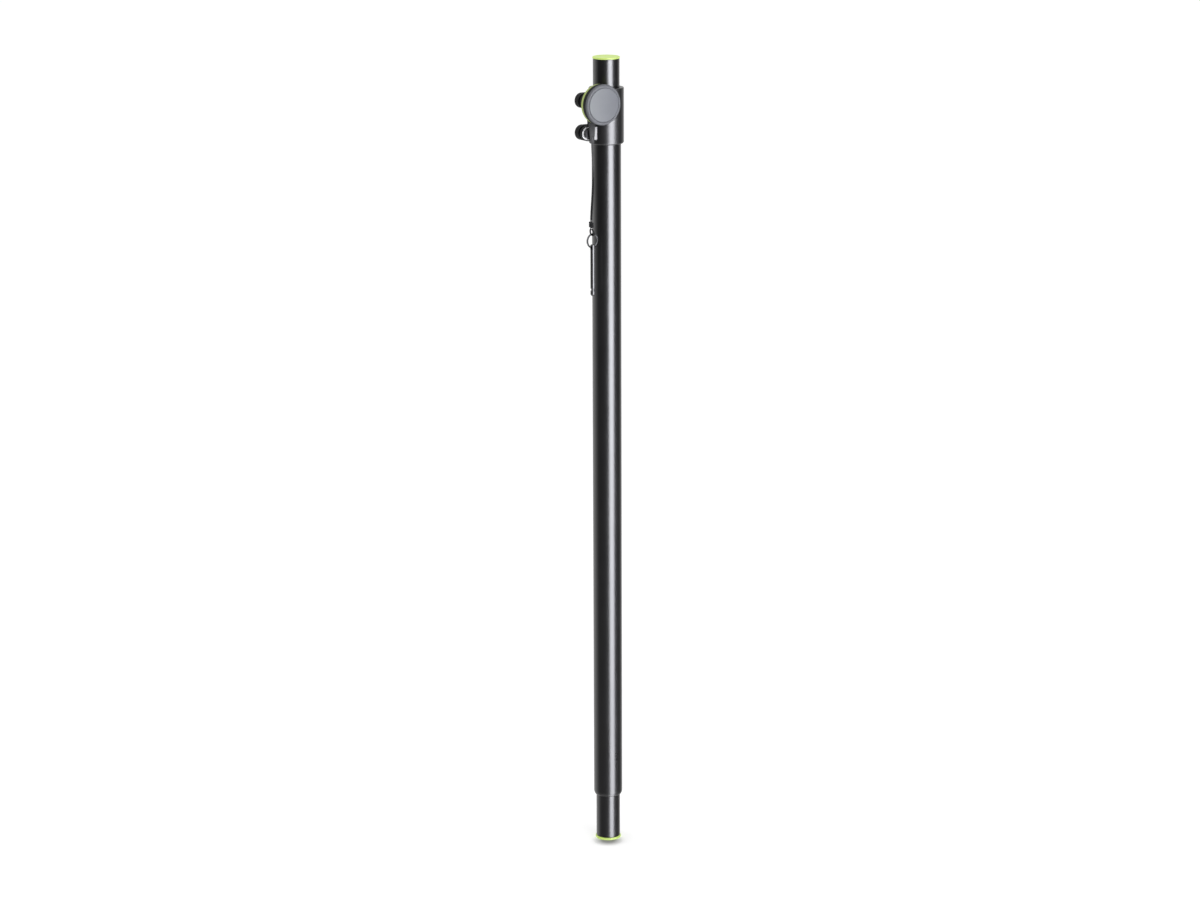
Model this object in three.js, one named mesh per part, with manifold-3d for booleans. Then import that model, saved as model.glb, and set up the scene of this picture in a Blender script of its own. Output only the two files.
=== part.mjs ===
// A telescopic speaker pole, pushed together: a black outer tube with a narrower spigot for a
// socket, an inner tube held by a split clamp collar and its hand knob, and a steel locking pin
// that hangs from the knob on a short lanyard.
//
// Lengths are millimetres. The pole stands on the origin with +Z along its axis. The collar's ears
// point to -X and the knob faces -Y.

import * as THREE from 'three';
import { mergeVertices } from 'three/addons/utils/BufferGeometryUtils.js';
import Module from 'manifold-3d';

const wasm = await Module();
wasm.setup();

// Clearances and cuts
const seat_gap = 0.3;                  // between pieces that touch or seat on each other
const cut_overrun = 3;                 // how far a cut runs past the face it opens
const join_depth = 3;                  // how far a rib or ear runs into the body that carries it

// Facets around a full turn
const tube_sides = 40;
const knob_sides = 40;
const small_sides = 20;
const hole_sides = 12;
const cord_sides = 8;
const curve_steps = 9;                 // along each curve of an outline
const quarter_turn = Math.PI / 2;

// Pole, pushed together
const pole_height = 1077;
const mast_stand = 40;                 // how far the inner tube and its cap stand above the collar

// Inner tube that slides out of the top
const inner_tube_diameter = 35;
const inner_tube_wall = 1.5;
const pin_hole_clearance = 0.55;       // around the locking pin
const pin_hole_pitch = 100;
const pin_hole_rise = 5;               // above the collar, with the pole drawn out to a hole
const pin_hole_least_rise = 300;       // of the lowest hole above the inner tube's lower end

// Outer tube
const outer_tube_clearance = 0.5;      // around the inner tube
const outer_tube_wall = 1.3;
const outer_tube_bottom = 63;
const rolled_end_height = 6;           // the lower end is rolled in around the spigot
const rolled_end_turn = THREE.MathUtils.degToRad(72);
const rolled_end_steps = 4;

// Spigot that stands in a socket, and the sleeve that centres it in the outer tube
const spigot_wall = 1.5;
const spigot_insertion = 43;           // how far it runs up inside the outer tube
const spigot_sleeve_wall = 1.25;
const spigot_sleeve_start = 9;         // above the outer tube's lower end
const spigot_sleeve_lip = 1.8;
const spigot_sleeve_lip_reach = 2.2;

// Foot cap
const foot_flange_overhang = 1.1;      // past the spigot's side
const foot_flange_height = 3;
const foot_flange_bevel = 0.7;
const foot_stem_length = 21;
const foot_stem_wall = 2;

// Guide plug under the inner tube
const plug_flange_height = 11;
const plug_stem_length = 22;
const plug_wall = 2.5;

// Top cap
const top_flange_overhang = 0.5;       // past the inner tube's side
const top_flange_height = 2.3;
const top_flange_bevel = 0.7;
const top_stem_length = 24;
const top_stem_wall = 2;

// Clamp collar
const collar_wall = 3.5;
const collar_height = 74;
const collar_overhang = 37;            // above the outer tube's upper end
const collar_lip_height = 4;
const collar_foot_chamfer_width = 2.7;
const collar_foot_chamfer_height = 2;
const collar_edge_round = 1;
const collar_mouth_bevel = 0.5;
const collar_split = 4.2;              // open width of the split between the ears
const collar_split_start = 15;         // from the pole's axis, inside the bore

// The collar's ears. Reaches along the bolts are taken from the split's middle plane.
const bolt_end_distance = 16;          // from each end of the collar to the nearer bolt
const ear_radius = 10;
const ear_bevel = 0.6;
const ear_near_reach = 6;
const ear_far_reach = 10.6;
const ear_root_reach = 10;
const ear_root_clearance = 0.7;        // beside the lower bolt's head
const ear_root_bevel = 1.8;
const flange_width = 3.9;              // of the rib that joins the ears, past the collar's side
const flange_half_width = 5;
const flange_bevel = 1;
const flange_end_inset = 6;

// Collar bush around the inner tube
const bush_chamfer = 0.6;

// M8 bolts and nuts of both clamps
const bolt_diameter = 8;
const hex_width = 13;                  // across flats
const lower_head_height = 5;
const stud_head_height = 5.4;
const hex_chamfer = 0.5;
const nut_height = 5.7;

// Washer and spacer behind the knob. Depths run outwards from the split's middle plane.
const washer_diameter = 18;
const washer_thickness = 1.6;
const spacer_shoulder_diameter = 16;
const spacer_shoulder_length = 4.8;
const spacer_neck_diameter = 12;
const spacer_neck_length = 3.3;

// Knob
const knob_diameter = 53.2;
const knob_hub_diameter = 20;
const knob_hub_length = 10.7;
const knob_hub_flare = 3;
const knob_ring_thickness = 4.8;
const knob_ring_width = 4.7;
const knob_ring_inset = 0.6;           // from the side of the black body
const knob_ring_bevel = 0.5;
const knob_side_height = 5.8;          // of the black body in front of the ring
const knob_side_bevel = 0.4;
const knob_seat_diameter = 38;         // the recess that the face pad plugs into
const knob_seat_depth = 1.5;
const knob_pad_thickness = 3.4;        // of the pad's rim, in front of the body
const knob_pad_back_bevel = 0.3;
const knob_pad_round = 3;
const knob_groove_radius = 22.9;       // outer radius of the groove round the pad's face
const knob_groove_width = 0.9;
const knob_groove_depth = 0.6;
const knob_pad_crown = 0.3;
const round_steps = 4;

// Lanyard hanger, a flat strap around the spacer's neck
const hanger_thickness = 2.4;
const hanger_eye_rim = 3;
const hanger_length = 53.3;            // from the stud's axis to its lower end
const hanger_waist_drop = 31;
const hanger_waist_half_width = 4.5;
const hanger_tail_half_width = 2.6;
const hanger_lean = THREE.MathUtils.degToRad(1.2);   // towards the pole
const hanger_bevel = 0.3;
const hanger_socket_diameter = 4.8;
const hanger_socket_length = 9;

// Lanyard cord, knot and loop
const cord_diameter = 3.2;
const cord_steps = 20;
const knot_height = 10.4;
const knot_strand = 2.3;
const knot_girth = 5.7;
const knot_turns = 3;
const knot_tilt = THREE.MathUtils.degToRad(20);
const knot_core_sides = 10;
const knot_core_rings = 6;
const knot_turn_steps = 12;
const loop_cord_diameter = 1.6;
const loop_cord_steps = 24;
const loop_length = 8.75;              // from the knot down to the loop's lowest bend
const loop_half_width = 3.2;
const loop_neck_half_width = 1.2;

// Split ring
const ring_outer_diameter = 19.9;
const ring_wire_diameter = 1.8;
const ring_steps = 32;
const ring_turn = THREE.MathUtils.degToRad(9);   // its plane is turned this far about +Z
const ring_drift = 1.9;                // how far it hangs from under the cord's end, towards the pole

// Locking pin
const pin_diameter = 6.3;
const pin_length = 68.7;
const pin_eye_diameter = 4.6;
const pin_eye_rim = 2.4;
const pin_head_round = 1.6;
const pin_tip_radius = 1.9;
const pin_tip_height = 2;
const pin_groove_height = 6.6;
const pin_groove_width = 3.4;
const pin_groove_depth = 0.85;
const pin_groove_slope = 0.8;

// Route of the lanyard cord down to the knot, as [x, y, z] from where it leaves the hanger.
const cord_route = [
  [0, 0, 0],
  [0.1, 0, -4.4],
  [0.3, -0.1, -10.4],
  [0.5, -0.3, -17.4],
  [0.8, -0.4, -25.4],
  [0.9, -0.5, -33.4],
  [1, -0.5, -41.4],
  [0.8, -0.5, -49.4],
  [0.5, -0.4, -57.4],
  [0.1, -0.3, -65.4],
  [-0.4, -0.2, -73.4],
  [-0.9, -0.1, -81.4],
  [-1.4, 0, -89.4],
  [-1.8, 0, -96.4],
  [-2, 0, -102.1],
];

// Places worked out from the sizes above
const inner_tube_radius = inner_tube_diameter / 2;
const inner_bore_radius = inner_tube_radius - inner_tube_wall;
const outer_bore_radius = inner_tube_radius + outer_tube_clearance;
const outer_tube_radius = outer_bore_radius + outer_tube_wall;
const sleeve_radius = outer_bore_radius - seat_gap;
const sleeve_bore_radius = sleeve_radius - spigot_sleeve_wall;
const spigot_radius = sleeve_bore_radius - seat_gap;
const spigot_top = outer_tube_bottom + spigot_insertion;
const sleeve_top = spigot_top + seat_gap + spigot_sleeve_lip;
const plug_bottom = sleeve_top + seat_gap;
const inner_tube_bottom = plug_bottom + plug_flange_height + seat_gap;
const inner_tube_top = pole_height - top_flange_height - seat_gap;
const collar_bore_radius = outer_tube_radius + seat_gap;
const collar_radius = collar_bore_radius + collar_wall;
const collar_top = pole_height - mast_stand;
const collar_bottom = collar_top - collar_height;
const collar_lip_bottom = collar_top - collar_lip_height;
const outer_tube_top = collar_top - collar_overhang;
const flange_reach = collar_radius + flange_width;
const bolt_offset = collar_radius + seat_gap + washer_diameter / 2;
const upper_bolt_height = collar_top - bolt_end_distance;
const lower_bolt_height = collar_bottom + bolt_end_distance;
const bolt_radius = bolt_diameter / 2;
const bolt_hole_radius = bolt_radius + seat_gap;
const bolt_tip_reach = ear_far_reach - seat_gap;
const nut_pocket_depth = nut_height + 2 * seat_gap;
const washer_start = ear_near_reach + seat_gap;
const spacer_start = washer_start + washer_thickness + seat_gap;
const spacer_neck_start = spacer_start + spacer_shoulder_length;
const hub_start = spacer_neck_start + spacer_neck_length + seat_gap;
const hanger_start = spacer_neck_start + seat_gap;
const hanger_middle = hanger_start + hanger_thickness / 2;
const knob_radius = knob_diameter / 2;
const knob_seat_radius = knob_seat_diameter / 2;
const knob_ring_radius = knob_radius - knob_ring_inset;
const knob_ring_start = hub_start + knob_hub_length + knob_hub_flare;
const knob_side_start = knob_ring_start + knob_ring_thickness + seat_gap;
const knob_side_end = knob_side_start + knob_side_height;
const knob_seat_floor = knob_side_end - knob_seat_depth;
const knob_pad_start = knob_side_end + seat_gap;
const knob_face = knob_pad_start + knob_pad_thickness;
const stud_head_start = knob_seat_floor - stud_head_height;
const cord_start_drop = hanger_length + seat_gap;    // from the stud's axis, along the leaning strap
const cord_start = new THREE.Vector3(cord_start_drop * Math.sin(hanger_lean) - bolt_offset,
  -hanger_middle, upper_bolt_height - cord_start_drop * Math.cos(hanger_lean));
const cord_points = cord_route.map((point) => new THREE.Vector3(...point).add(cord_start));
const cord_end = cord_points.at(-1);
const knot_top = cord_end.z - seat_gap;
const loop_top = knot_top - knot_height - seat_gap;
const loop_bottom = loop_top - loop_length;
const ring_wire_radius = ring_wire_diameter / 2;
const ring_radius = ring_outer_diameter / 2 - ring_wire_radius;
const ring_top = loop_bottom + loop_cord_diameter / 2 + seat_gap + ring_wire_diameter;
const ring_height = ring_top - ring_outer_diameter / 2;
const ring_centre = new THREE.Vector3(cord_end.x + ring_drift, cord_end.y, ring_height);
const ring_normal = new THREE.Vector3(Math.sin(ring_turn), -Math.cos(ring_turn), 0);
const pin_radius = pin_diameter / 2;
const pin_eye_radius = pin_eye_diameter / 2;
const wire_rise = ring_radius - Math.sqrt(ring_radius ** 2 - pin_radius ** 2);   // across the pin
const pin_eye_top = ring_centre.z - ring_radius + wire_rise + ring_wire_radius + seat_gap;
const pin_top = pin_eye_top + pin_eye_rim;

// Looks
const finishes = {
  satin_black: { color: 0x1d1e20, roughness: 0.38, metalness: 0.25 },
  black_plastic: { color: 0x151617, roughness: 0.45, metalness: 0 },
  dark_grey_rubber: { color: 0x4b4c4f, roughness: 0.75, metalness: 0 },
  pad_rubber: { color: 0x8f939c, roughness: 0.8, metalness: 0 },
  lime_plastic: { color: 0xd3f56c, roughness: 0.5, metalness: 0 },
  nylon: { color: 0xc9c6ba, roughness: 0.6, metalness: 0 },
  zinc_steel: { color: 0xb9bcc0, roughness: 0.35, metalness: 1 },
  chrome_wire: { color: 0xd9dbde, roughness: 0.12, metalness: 1 },
  black_cord: { color: 0x2a2a2c, roughness: 0.9, metalness: 0 },
};

// Geometry with merged corners, no collapsed triangles and its faces turned outwards.
function closedForm(geometry) {
  geometry.deleteAttribute('normal');
  geometry.deleteAttribute('uv');
  const welded = mergeVertices(geometry);
  const corners = welded.index.array;
  const place = welded.attributes.position;
  const [a, b, c] = [new THREE.Vector3(), new THREE.Vector3(), new THREE.Vector3()];
  const kept = [];
  let volume = 0;
  for (let i = 0; i < corners.length; i += 3) {
    const triangle = [corners[i], corners[i + 1], corners[i + 2]];
    if (new Set(triangle).size < 3) continue;
    a.fromBufferAttribute(place, triangle[0]);
    b.fromBufferAttribute(place, triangle[1]);
    c.fromBufferAttribute(place, triangle[2]);
    volume += a.dot(b.cross(c));
    kept.push(...triangle);
  }
  if (volume < 0) kept.reverse();
  welded.setIndex(kept);
  welded.computeVertexNormals();
  return welded;
}

function toSolid(geometry) {
  const form = closedForm(geometry);
  return new wasm.Manifold(new wasm.Mesh({
    numProp: 3,
    vertProperties: new Float32Array(form.attributes.position.array),
    triVerts: new Uint32Array(form.index.array),
  }));
}

function fromSolid(solid) {
  const mesh = solid.getMesh();
  const geometry = new THREE.BufferGeometry();
  geometry.setAttribute('position', new THREE.BufferAttribute(mesh.vertProperties, 3));
  geometry.setIndex(new THREE.BufferAttribute(mesh.triVerts, 1));
  geometry.computeVertexNormals();
  return geometry;
}

// One body made of the first geometry with the others joined on and the cuts taken away.
function carved(base, joined, cuts) {
  let solid = toSolid(base);
  for (const extra of joined) solid = solid.add(toSolid(extra));
  for (const cut of cuts) solid = solid.subtract(toSolid(cut));
  return fromSolid(solid);
}

// A form turned about +Z from [radius, height] points. One that never meets the axis closes on
// itself.
function turned(points, sides) {
  const profile = points.map(([radius, height]) => new THREE.Vector2(radius, height));
  if (profile[0].x > 0) profile.push(profile[0].clone());
  return closedForm(new THREE.LatheGeometry(profile, sides).rotateX(quarter_turn));
}

// The [radius, height] points of a round edge, as a quarter ellipse about its centre.
function roundEdge(centre_radius, centre_height, reach, rise, from_turn, to_turn, steps) {
  const points = [];
  for (let step = 0; step <= steps; step += 1) {
    const angle = THREE.MathUtils.lerp(from_turn, to_turn, step / steps);
    points.push([centre_radius + reach * Math.cos(angle), centre_height + rise * Math.sin(angle)]);
  }
  return points;
}

function rod(radius, start, end, sides) {
  return turned([[0, start], [radius, start], [radius, end], [0, end]], sides);
}

function hollowRod(outer, inner, start, end, sides) {
  return turned([[inner, start], [outer, start], [outer, end], [inner, end]], sides);
}

// A hexagonal bar along +Z with corners on the +Y and -Y sides.
function hexBar(width, start, end) {
  const corner_radius = width / Math.sqrt(3);
  const bar = new THREE.CylinderGeometry(corner_radius, corner_radius, end - start, 6);
  return bar.rotateX(quarter_turn).translate(0, 0, (start + end) / 2);
}

// A hexagonal bar whose corners are turned down at the ends named by the two chamfers.
function chamferedHex(width, start, end, start_chamfer, end_chamfer) {
  const outer = width / Math.sqrt(3);
  const barrel = turned([
    [0, start],
    [outer - 2 * start_chamfer, start],
    [outer, start + start_chamfer],
    [outer, end - end_chamfer],
    [outer - 2 * end_chamfer, end],
    [0, end],
  ], small_sides);
  return fromSolid(toSolid(hexBar(width, start, end)).intersect(toSolid(barrel)));
}

// A plate cut to an outline in X and Y, from one height to the next, with bevelled edges.
function plate(outline, start, end, bevel) {
  const geometry = new THREE.ExtrudeGeometry(outline, {
    depth: end - start - 2 * bevel,
    bevelThickness: bevel,
    bevelSize: bevel,
    bevelOffset: -bevel,
    bevelSegments: 1,
    curveSegments: curve_steps,
  });
  return geometry.translate(0, 0, start + bevel);
}

function rectangle(left, right, bottom, top) {
  const outline = new THREE.Shape();
  outline.moveTo(left, bottom);
  outline.lineTo(right, bottom);
  outline.lineTo(right, top);
  outline.lineTo(left, top);
  outline.closePath();
  return outline;
}

// A round cord along a curve.
function cordAlong(curve, diameter, steps) {
  const section = new THREE.Shape();
  for (let side = 0; side < cord_sides; side += 1) {
    const angle = 4 * quarter_turn * side / cord_sides;
    const x = diameter / 2 * Math.cos(angle);
    const y = diameter / 2 * Math.sin(angle);
    if (side === 0) section.moveTo(x, y);
    else section.lineTo(x, y);
  }
  section.closePath();
  return closedForm(new THREE.ExtrudeGeometry(section, { steps, extrudePath: curve }));
}

// A geometry drawn along a bolt, moved to that bolt. Its +Z runs out towards the knob and its +Y
// runs up the pole.
function atBolt(geometry, height) {
  return geometry.rotateX(quarter_turn).translate(-bolt_offset, 0, height);
}

function piece(name, geometry, finish) {
  const mesh = new THREE.Mesh(geometry, new THREE.MeshStandardMaterial(finishes[finish]));
  mesh.name = name;
  return mesh;
}

// Pieces on the pole's own axis

function makeOuterTube() {
  const rolled_bore = spigot_radius + seat_gap;
  const rolled_top = outer_tube_bottom + rolled_end_height;
  const outer_roll = roundEdge(rolled_bore, rolled_top, outer_tube_radius - rolled_bore,
    rolled_end_height, -rolled_end_turn, 0, rolled_end_steps);
  const inner_roll = roundEdge(rolled_bore, rolled_top + outer_tube_wall, outer_bore_radius - rolled_bore,
    rolled_end_height, 0, -quarter_turn, rolled_end_steps);
  return turned([
    [rolled_bore, outer_tube_bottom],
    [outer_roll[0][0], outer_tube_bottom],
    ...outer_roll,
    [outer_tube_radius, outer_tube_top],
    [outer_bore_radius, outer_tube_top],
    ...inner_roll,
  ], tube_sides);
}

function makeSpigotTube() {
  const bottom = foot_flange_height + seat_gap;
  return hollowRod(spigot_radius, spigot_radius - spigot_wall, bottom, spigot_top, tube_sides);
}

function makeSpigotSleeve() {
  const bottom = outer_tube_bottom + spigot_sleeve_start;
  const lip_bottom = sleeve_top - spigot_sleeve_lip;
  const lip_radius = sleeve_bore_radius - spigot_sleeve_lip_reach;
  return turned([
    [sleeve_bore_radius, bottom],
    [sleeve_radius, bottom],
    [sleeve_radius, sleeve_top],
    [lip_radius, sleeve_top],
    [lip_radius, lip_bottom],
    [sleeve_bore_radius, lip_bottom],
  ], tube_sides);
}

// A cap's flange from the axis outwards, with a bevel on its free edge, then its hollow stem. Heights
// grow from the free face into the tube.
function capProfile(flange_radius, flange_height, bevel, stem_radius, stem_wall, stem_length) {
  const stem_end = flange_height + stem_length;
  return [
    [0, 0],
    [flange_radius - bevel, 0],
    [flange_radius, bevel],
    [flange_radius, flange_height],
    [stem_radius, flange_height],
    [stem_radius, stem_end],
    [stem_radius - stem_wall, stem_end],
    [stem_radius - stem_wall, flange_height],
    [0, flange_height],
  ];
}

function makeFootCap() {
  const stem_radius = spigot_radius - spigot_wall - seat_gap;
  return turned(capProfile(spigot_radius + foot_flange_overhang, foot_flange_height, foot_flange_bevel,
    stem_radius, foot_stem_wall, foot_stem_length), tube_sides);
}

function makeTopCap() {
  const stem_radius = inner_bore_radius - seat_gap;
  const profile = capProfile(inner_tube_radius + top_flange_overhang, top_flange_height,
    top_flange_bevel, stem_radius, top_stem_wall, top_stem_length);
  return turned(profile.map(([radius, depth]) => [radius, pole_height - depth]), tube_sides);
}

function makeInnerTube() {
  const tube = hollowRod(inner_tube_radius, inner_bore_radius, inner_tube_bottom, inner_tube_top, tube_sides);
  const holes = [];
  const reach = inner_tube_radius + cut_overrun;
  let height = collar_top + pin_hole_rise - pin_hole_pitch;
  while (height >= inner_tube_bottom + pin_hole_least_rise) {
    const drill = rod(pin_radius + pin_hole_clearance, -reach, reach, hole_sides);
    holes.push(drill.rotateX(quarter_turn).translate(0, 0, height));
    height -= pin_hole_pitch;
  }
  return carved(tube, [], holes);
}

function makeMastPlug() {
  const stem_radius = inner_bore_radius - seat_gap;
  const bore_radius = stem_radius - plug_wall;
  const flange_top = plug_bottom + plug_flange_height;
  const stem_top = flange_top + seat_gap + plug_stem_length;
  return turned([
    [0, plug_bottom],
    [sleeve_radius, plug_bottom],
    [sleeve_radius, flange_top],
    [stem_radius, flange_top],
    [stem_radius, stem_top],
    [bore_radius, stem_top],
    [bore_radius, plug_bottom + plug_wall],
    [0, plug_bottom + plug_wall],
  ], tube_sides);
}

function makeCollarBush() {
  const outer = outer_tube_radius;
  const inner = inner_tube_radius + seat_gap;
  const bottom = outer_tube_top + seat_gap;
  const top = collar_lip_bottom - seat_gap;
  return turned([
    [inner, bottom],
    [outer, bottom],
    [outer, top],
    [inner + bush_chamfer, top],
    [inner, top - bush_chamfer],
  ], tube_sides);
}

// Clamp collar

// An ear's outline about its bolt: round at the free end, straight into the collar.
function earOutline() {
  const root = bolt_offset - collar_radius + join_depth;
  const outline = new THREE.Shape();
  outline.moveTo(root, -ear_radius);
  outline.lineTo(root, ear_radius);
  outline.lineTo(0, ear_radius);
  outline.absarc(0, 0, ear_radius, quarter_turn, 3 * quarter_turn, false);
  outline.closePath();
  return outline;
}

function makeClampCollar() {
  const shell = turned([
    [0, collar_bottom],
    [collar_radius - collar_foot_chamfer_width, collar_bottom],
    [collar_radius, collar_bottom + collar_foot_chamfer_height],
    ...roundEdge(collar_radius - collar_edge_round, collar_top - collar_edge_round,
      collar_edge_round, collar_edge_round, 0, quarter_turn, round_steps),
    [0, collar_top],
  ], tube_sides);

  const flange_start = collar_bottom + flange_end_inset;
  const flange_end = collar_top - flange_end_inset;
  const flange_outline = rectangle(-flange_reach, join_depth - collar_radius, -flange_half_width,
    flange_half_width);
  const joined = [plate(flange_outline, flange_start, flange_end, flange_bevel)];

  const lip_seat = inner_tube_radius + seat_gap;
  const bore = turned([
    [0, collar_bottom - cut_overrun],
    [collar_bore_radius, collar_bottom - cut_overrun],
    [collar_bore_radius, collar_lip_bottom],
    [lip_seat, collar_lip_bottom],
    [lip_seat, collar_top - collar_mouth_bevel],
    [lip_seat + collar_mouth_bevel, collar_top],
    [lip_seat + collar_mouth_bevel, collar_top + cut_overrun],
    [0, collar_top + cut_overrun],
  ], tube_sides);
  const split_end = bolt_offset + ear_radius + cut_overrun;
  const split = plate(rectangle(-split_end, -collar_split_start, -collar_split / 2, collar_split / 2),
    collar_bottom - cut_overrun, collar_top + cut_overrun, 0);
  const cuts = [bore, split];

  const root_start = hex_width / 2 + ear_root_clearance;
  const root_end = bolt_offset - collar_radius + join_depth + ear_root_bevel;
  const root_outline = rectangle(root_start, root_end, -ear_radius, ear_radius);
  joined.push(atBolt(plate(root_outline, 0, ear_root_reach, ear_root_bevel), lower_bolt_height));
  for (const height of [lower_bolt_height, upper_bolt_height]) {
    joined.push(atBolt(plate(earOutline(), -ear_far_reach, 0, ear_bevel), height));
    joined.push(atBolt(plate(earOutline(), 0, ear_near_reach, ear_bevel), height));
    cuts.push(atBolt(rod(bolt_hole_radius, -ear_far_reach - cut_overrun,
      ear_near_reach + cut_overrun, small_sides), height));
    cuts.push(atBolt(hexBar(hex_width + 2 * seat_gap, -ear_far_reach - cut_overrun,
      nut_pocket_depth - ear_far_reach), height));
  }
  return carved(shell, joined, cuts);
}

// Fasteners, drawn along their bolt

function makeNut() {
  const start = nut_pocket_depth - ear_far_reach - seat_gap - nut_height;
  const end = start + nut_height;
  const body = chamferedHex(hex_width, start, end, hex_chamfer, hex_chamfer);
  return carved(body, [], [rod(bolt_hole_radius, start - cut_overrun, end + cut_overrun, small_sides)]);
}

function makeLowerBolt() {
  const head_start = ear_near_reach + seat_gap;
  const head = chamferedHex(hex_width, head_start, head_start + lower_head_height, 0, hex_chamfer);
  return carved(head, [rod(bolt_radius, -bolt_tip_reach, head_start + join_depth, small_sides)], []);
}

function makeClampStud() {
  const head = chamferedHex(hex_width, stud_head_start, knob_seat_floor, 0, hex_chamfer);
  return carved(head, [rod(bolt_radius, -bolt_tip_reach, stud_head_start + join_depth, small_sides)], []);
}

function makeThrustWasher() {
  return hollowRod(washer_diameter / 2, bolt_hole_radius, washer_start, washer_start + washer_thickness,
    small_sides);
}

function makeStudSpacer() {
  return turned([
    [bolt_hole_radius, spacer_start],
    [spacer_shoulder_diameter / 2, spacer_start],
    [spacer_shoulder_diameter / 2, spacer_neck_start],
    [spacer_neck_diameter / 2, spacer_neck_start],
    [spacer_neck_diameter / 2, spacer_neck_start + spacer_neck_length],
    [bolt_hole_radius, spacer_neck_start + spacer_neck_length],
  ], small_sides);
}

// Knob

function makeKnobBody() {
  const hub_radius = knob_hub_diameter / 2;
  const hub_end = hub_start + knob_hub_length;
  const ring_seat = knob_ring_radius - knob_ring_width - seat_gap;
  const body = turned([
    [bolt_hole_radius, hub_start],
    [hub_radius, hub_start],
    ...roundEdge(hub_radius + knob_hub_flare, hub_end, knob_hub_flare, knob_hub_flare,
      2 * quarter_turn, quarter_turn, round_steps),
    [ring_seat, knob_ring_start],
    [ring_seat, knob_side_start],
    [knob_radius - knob_side_bevel, knob_side_start],
    [knob_radius, knob_side_start + knob_side_bevel],
    [knob_radius, knob_side_end - knob_side_bevel],
    [knob_radius - knob_side_bevel, knob_side_end],
    [knob_seat_radius, knob_side_end],
    [knob_seat_radius, knob_seat_floor],
    [bolt_hole_radius, knob_seat_floor],
  ], knob_sides);
  const head_pocket = hexBar(hex_width + 2 * seat_gap, stud_head_start - seat_gap,
    knob_seat_floor + cut_overrun);
  return carved(body, [], [head_pocket]);
}

function makeKnobRing() {
  const inner = knob_ring_radius - knob_ring_width;
  const end = knob_ring_start + knob_ring_thickness;
  return turned([
    [inner, knob_ring_start],
    [knob_ring_radius - knob_ring_bevel, knob_ring_start],
    [knob_ring_radius, knob_ring_start + knob_ring_bevel],
    [knob_ring_radius, end - knob_ring_bevel],
    [knob_ring_radius - knob_ring_bevel, end],
    [inner, end],
  ], knob_sides);
}

// The pad wraps the knob's front edge and plugs into the body.
function makeKnobPad() {
  const plug_radius = knob_seat_radius - seat_gap;
  const plug_start = knob_seat_floor + seat_gap;
  const face_radius = knob_groove_radius - knob_groove_width;
  return turned([
    [0, plug_start],
    [plug_radius, plug_start],
    [plug_radius, knob_pad_start],
    [knob_radius - knob_pad_back_bevel, knob_pad_start],
    [knob_radius, knob_pad_start + knob_pad_back_bevel],
    ...roundEdge(knob_radius - knob_pad_round, knob_face - knob_pad_round, knob_pad_round,
      knob_pad_round, 0, quarter_turn, round_steps),
    [knob_groove_radius, knob_face],
    [knob_groove_radius, knob_face - knob_groove_depth],
    [face_radius, knob_face - knob_groove_depth],
    [face_radius, knob_face],
    [0, knob_face + knob_pad_crown],
  ], knob_sides);
}

// Lanyard

function makeLanyardHanger() {
  const eye_radius = spacer_neck_diameter / 2 + seat_gap;
  const head_radius = eye_radius + hanger_eye_rim;
  const strap = new THREE.Shape();
  strap.moveTo(head_radius, 0);
  strap.absarc(0, 0, head_radius, 0, 2 * quarter_turn, false);
  strap.quadraticCurveTo(-head_radius, -hanger_waist_drop / 2, -hanger_waist_half_width, -hanger_waist_drop);
  strap.lineTo(-hanger_tail_half_width, -hanger_length);
  strap.lineTo(hanger_tail_half_width, -hanger_length);
  strap.lineTo(hanger_waist_half_width, -hanger_waist_drop);
  strap.quadraticCurveTo(head_radius, -hanger_waist_drop / 2, head_radius, 0);
  const eye = rod(eye_radius, hanger_start - cut_overrun, hanger_start + hanger_thickness + cut_overrun,
    small_sides);
  const socket = rod(hanger_socket_diameter / 2, 0, hanger_socket_length, small_sides);
  socket.rotateX(-quarter_turn).translate(0, -hanger_length, hanger_middle);
  const strap_plate = plate(strap, hanger_start, hanger_start + hanger_thickness, hanger_bevel);
  return carved(strap_plate, [socket], [eye]).rotateZ(hanger_lean);
}

function makeLanyardCord() {
  return cordAlong(new THREE.CatmullRomCurve3(cord_points), cord_diameter, cord_steps);
}

// An overhand knot as a core with tilted turns of cord around it.
function makeLanyardKnot() {
  const turn_radius = (knot_girth - knot_strand) / 2;
  const core = new THREE.SphereGeometry(knot_girth / 2, knot_core_sides, knot_core_rings);
  core.scale(1, 1, knot_height / knot_girth);
  const turns = [];
  const span = knot_height - 2 * knot_strand;
  for (let turn = 0; turn < knot_turns; turn += 1) {
    const hoop = new THREE.TorusGeometry(turn_radius, knot_strand / 2, cord_sides, knot_turn_steps);
    hoop.rotateX(turn % 2 === 0 ? knot_tilt : -knot_tilt);
    hoop.translate(0, 0, span * (turn / (knot_turns - 1)) - span / 2);
    turns.push(hoop);
  }
  return carved(core, turns, []);
}

// The loop hangs from the knot and passes under the ring's wire, square to the ring.
function makeCordLoop() {
  // The loop's points, as a half width and a share of its length.
  const loop_shares = [
    [loop_neck_half_width, 0],
    [loop_half_width, 0.4],
    [loop_half_width, 0.7],
    [loop_half_width * Math.SQRT1_2, 0.93],
    [0, 1],
  ];
  const points = [];
  const loopPoint = (side, share) => {
    const middle_x = THREE.MathUtils.lerp(cord_end.x, ring_centre.x, share);
    const point = new THREE.Vector3(middle_x, ring_centre.y, loop_top - loop_length * share);
    return point.addScaledVector(ring_normal, side);
  };
  for (const [width, share] of loop_shares) points.push(loopPoint(-width, share));
  for (const [width, share] of loop_shares.slice(0, -1).reverse()) points.push(loopPoint(width, share));
  return cordAlong(new THREE.CatmullRomCurve3(points), loop_cord_diameter, loop_cord_steps);
}

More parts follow.
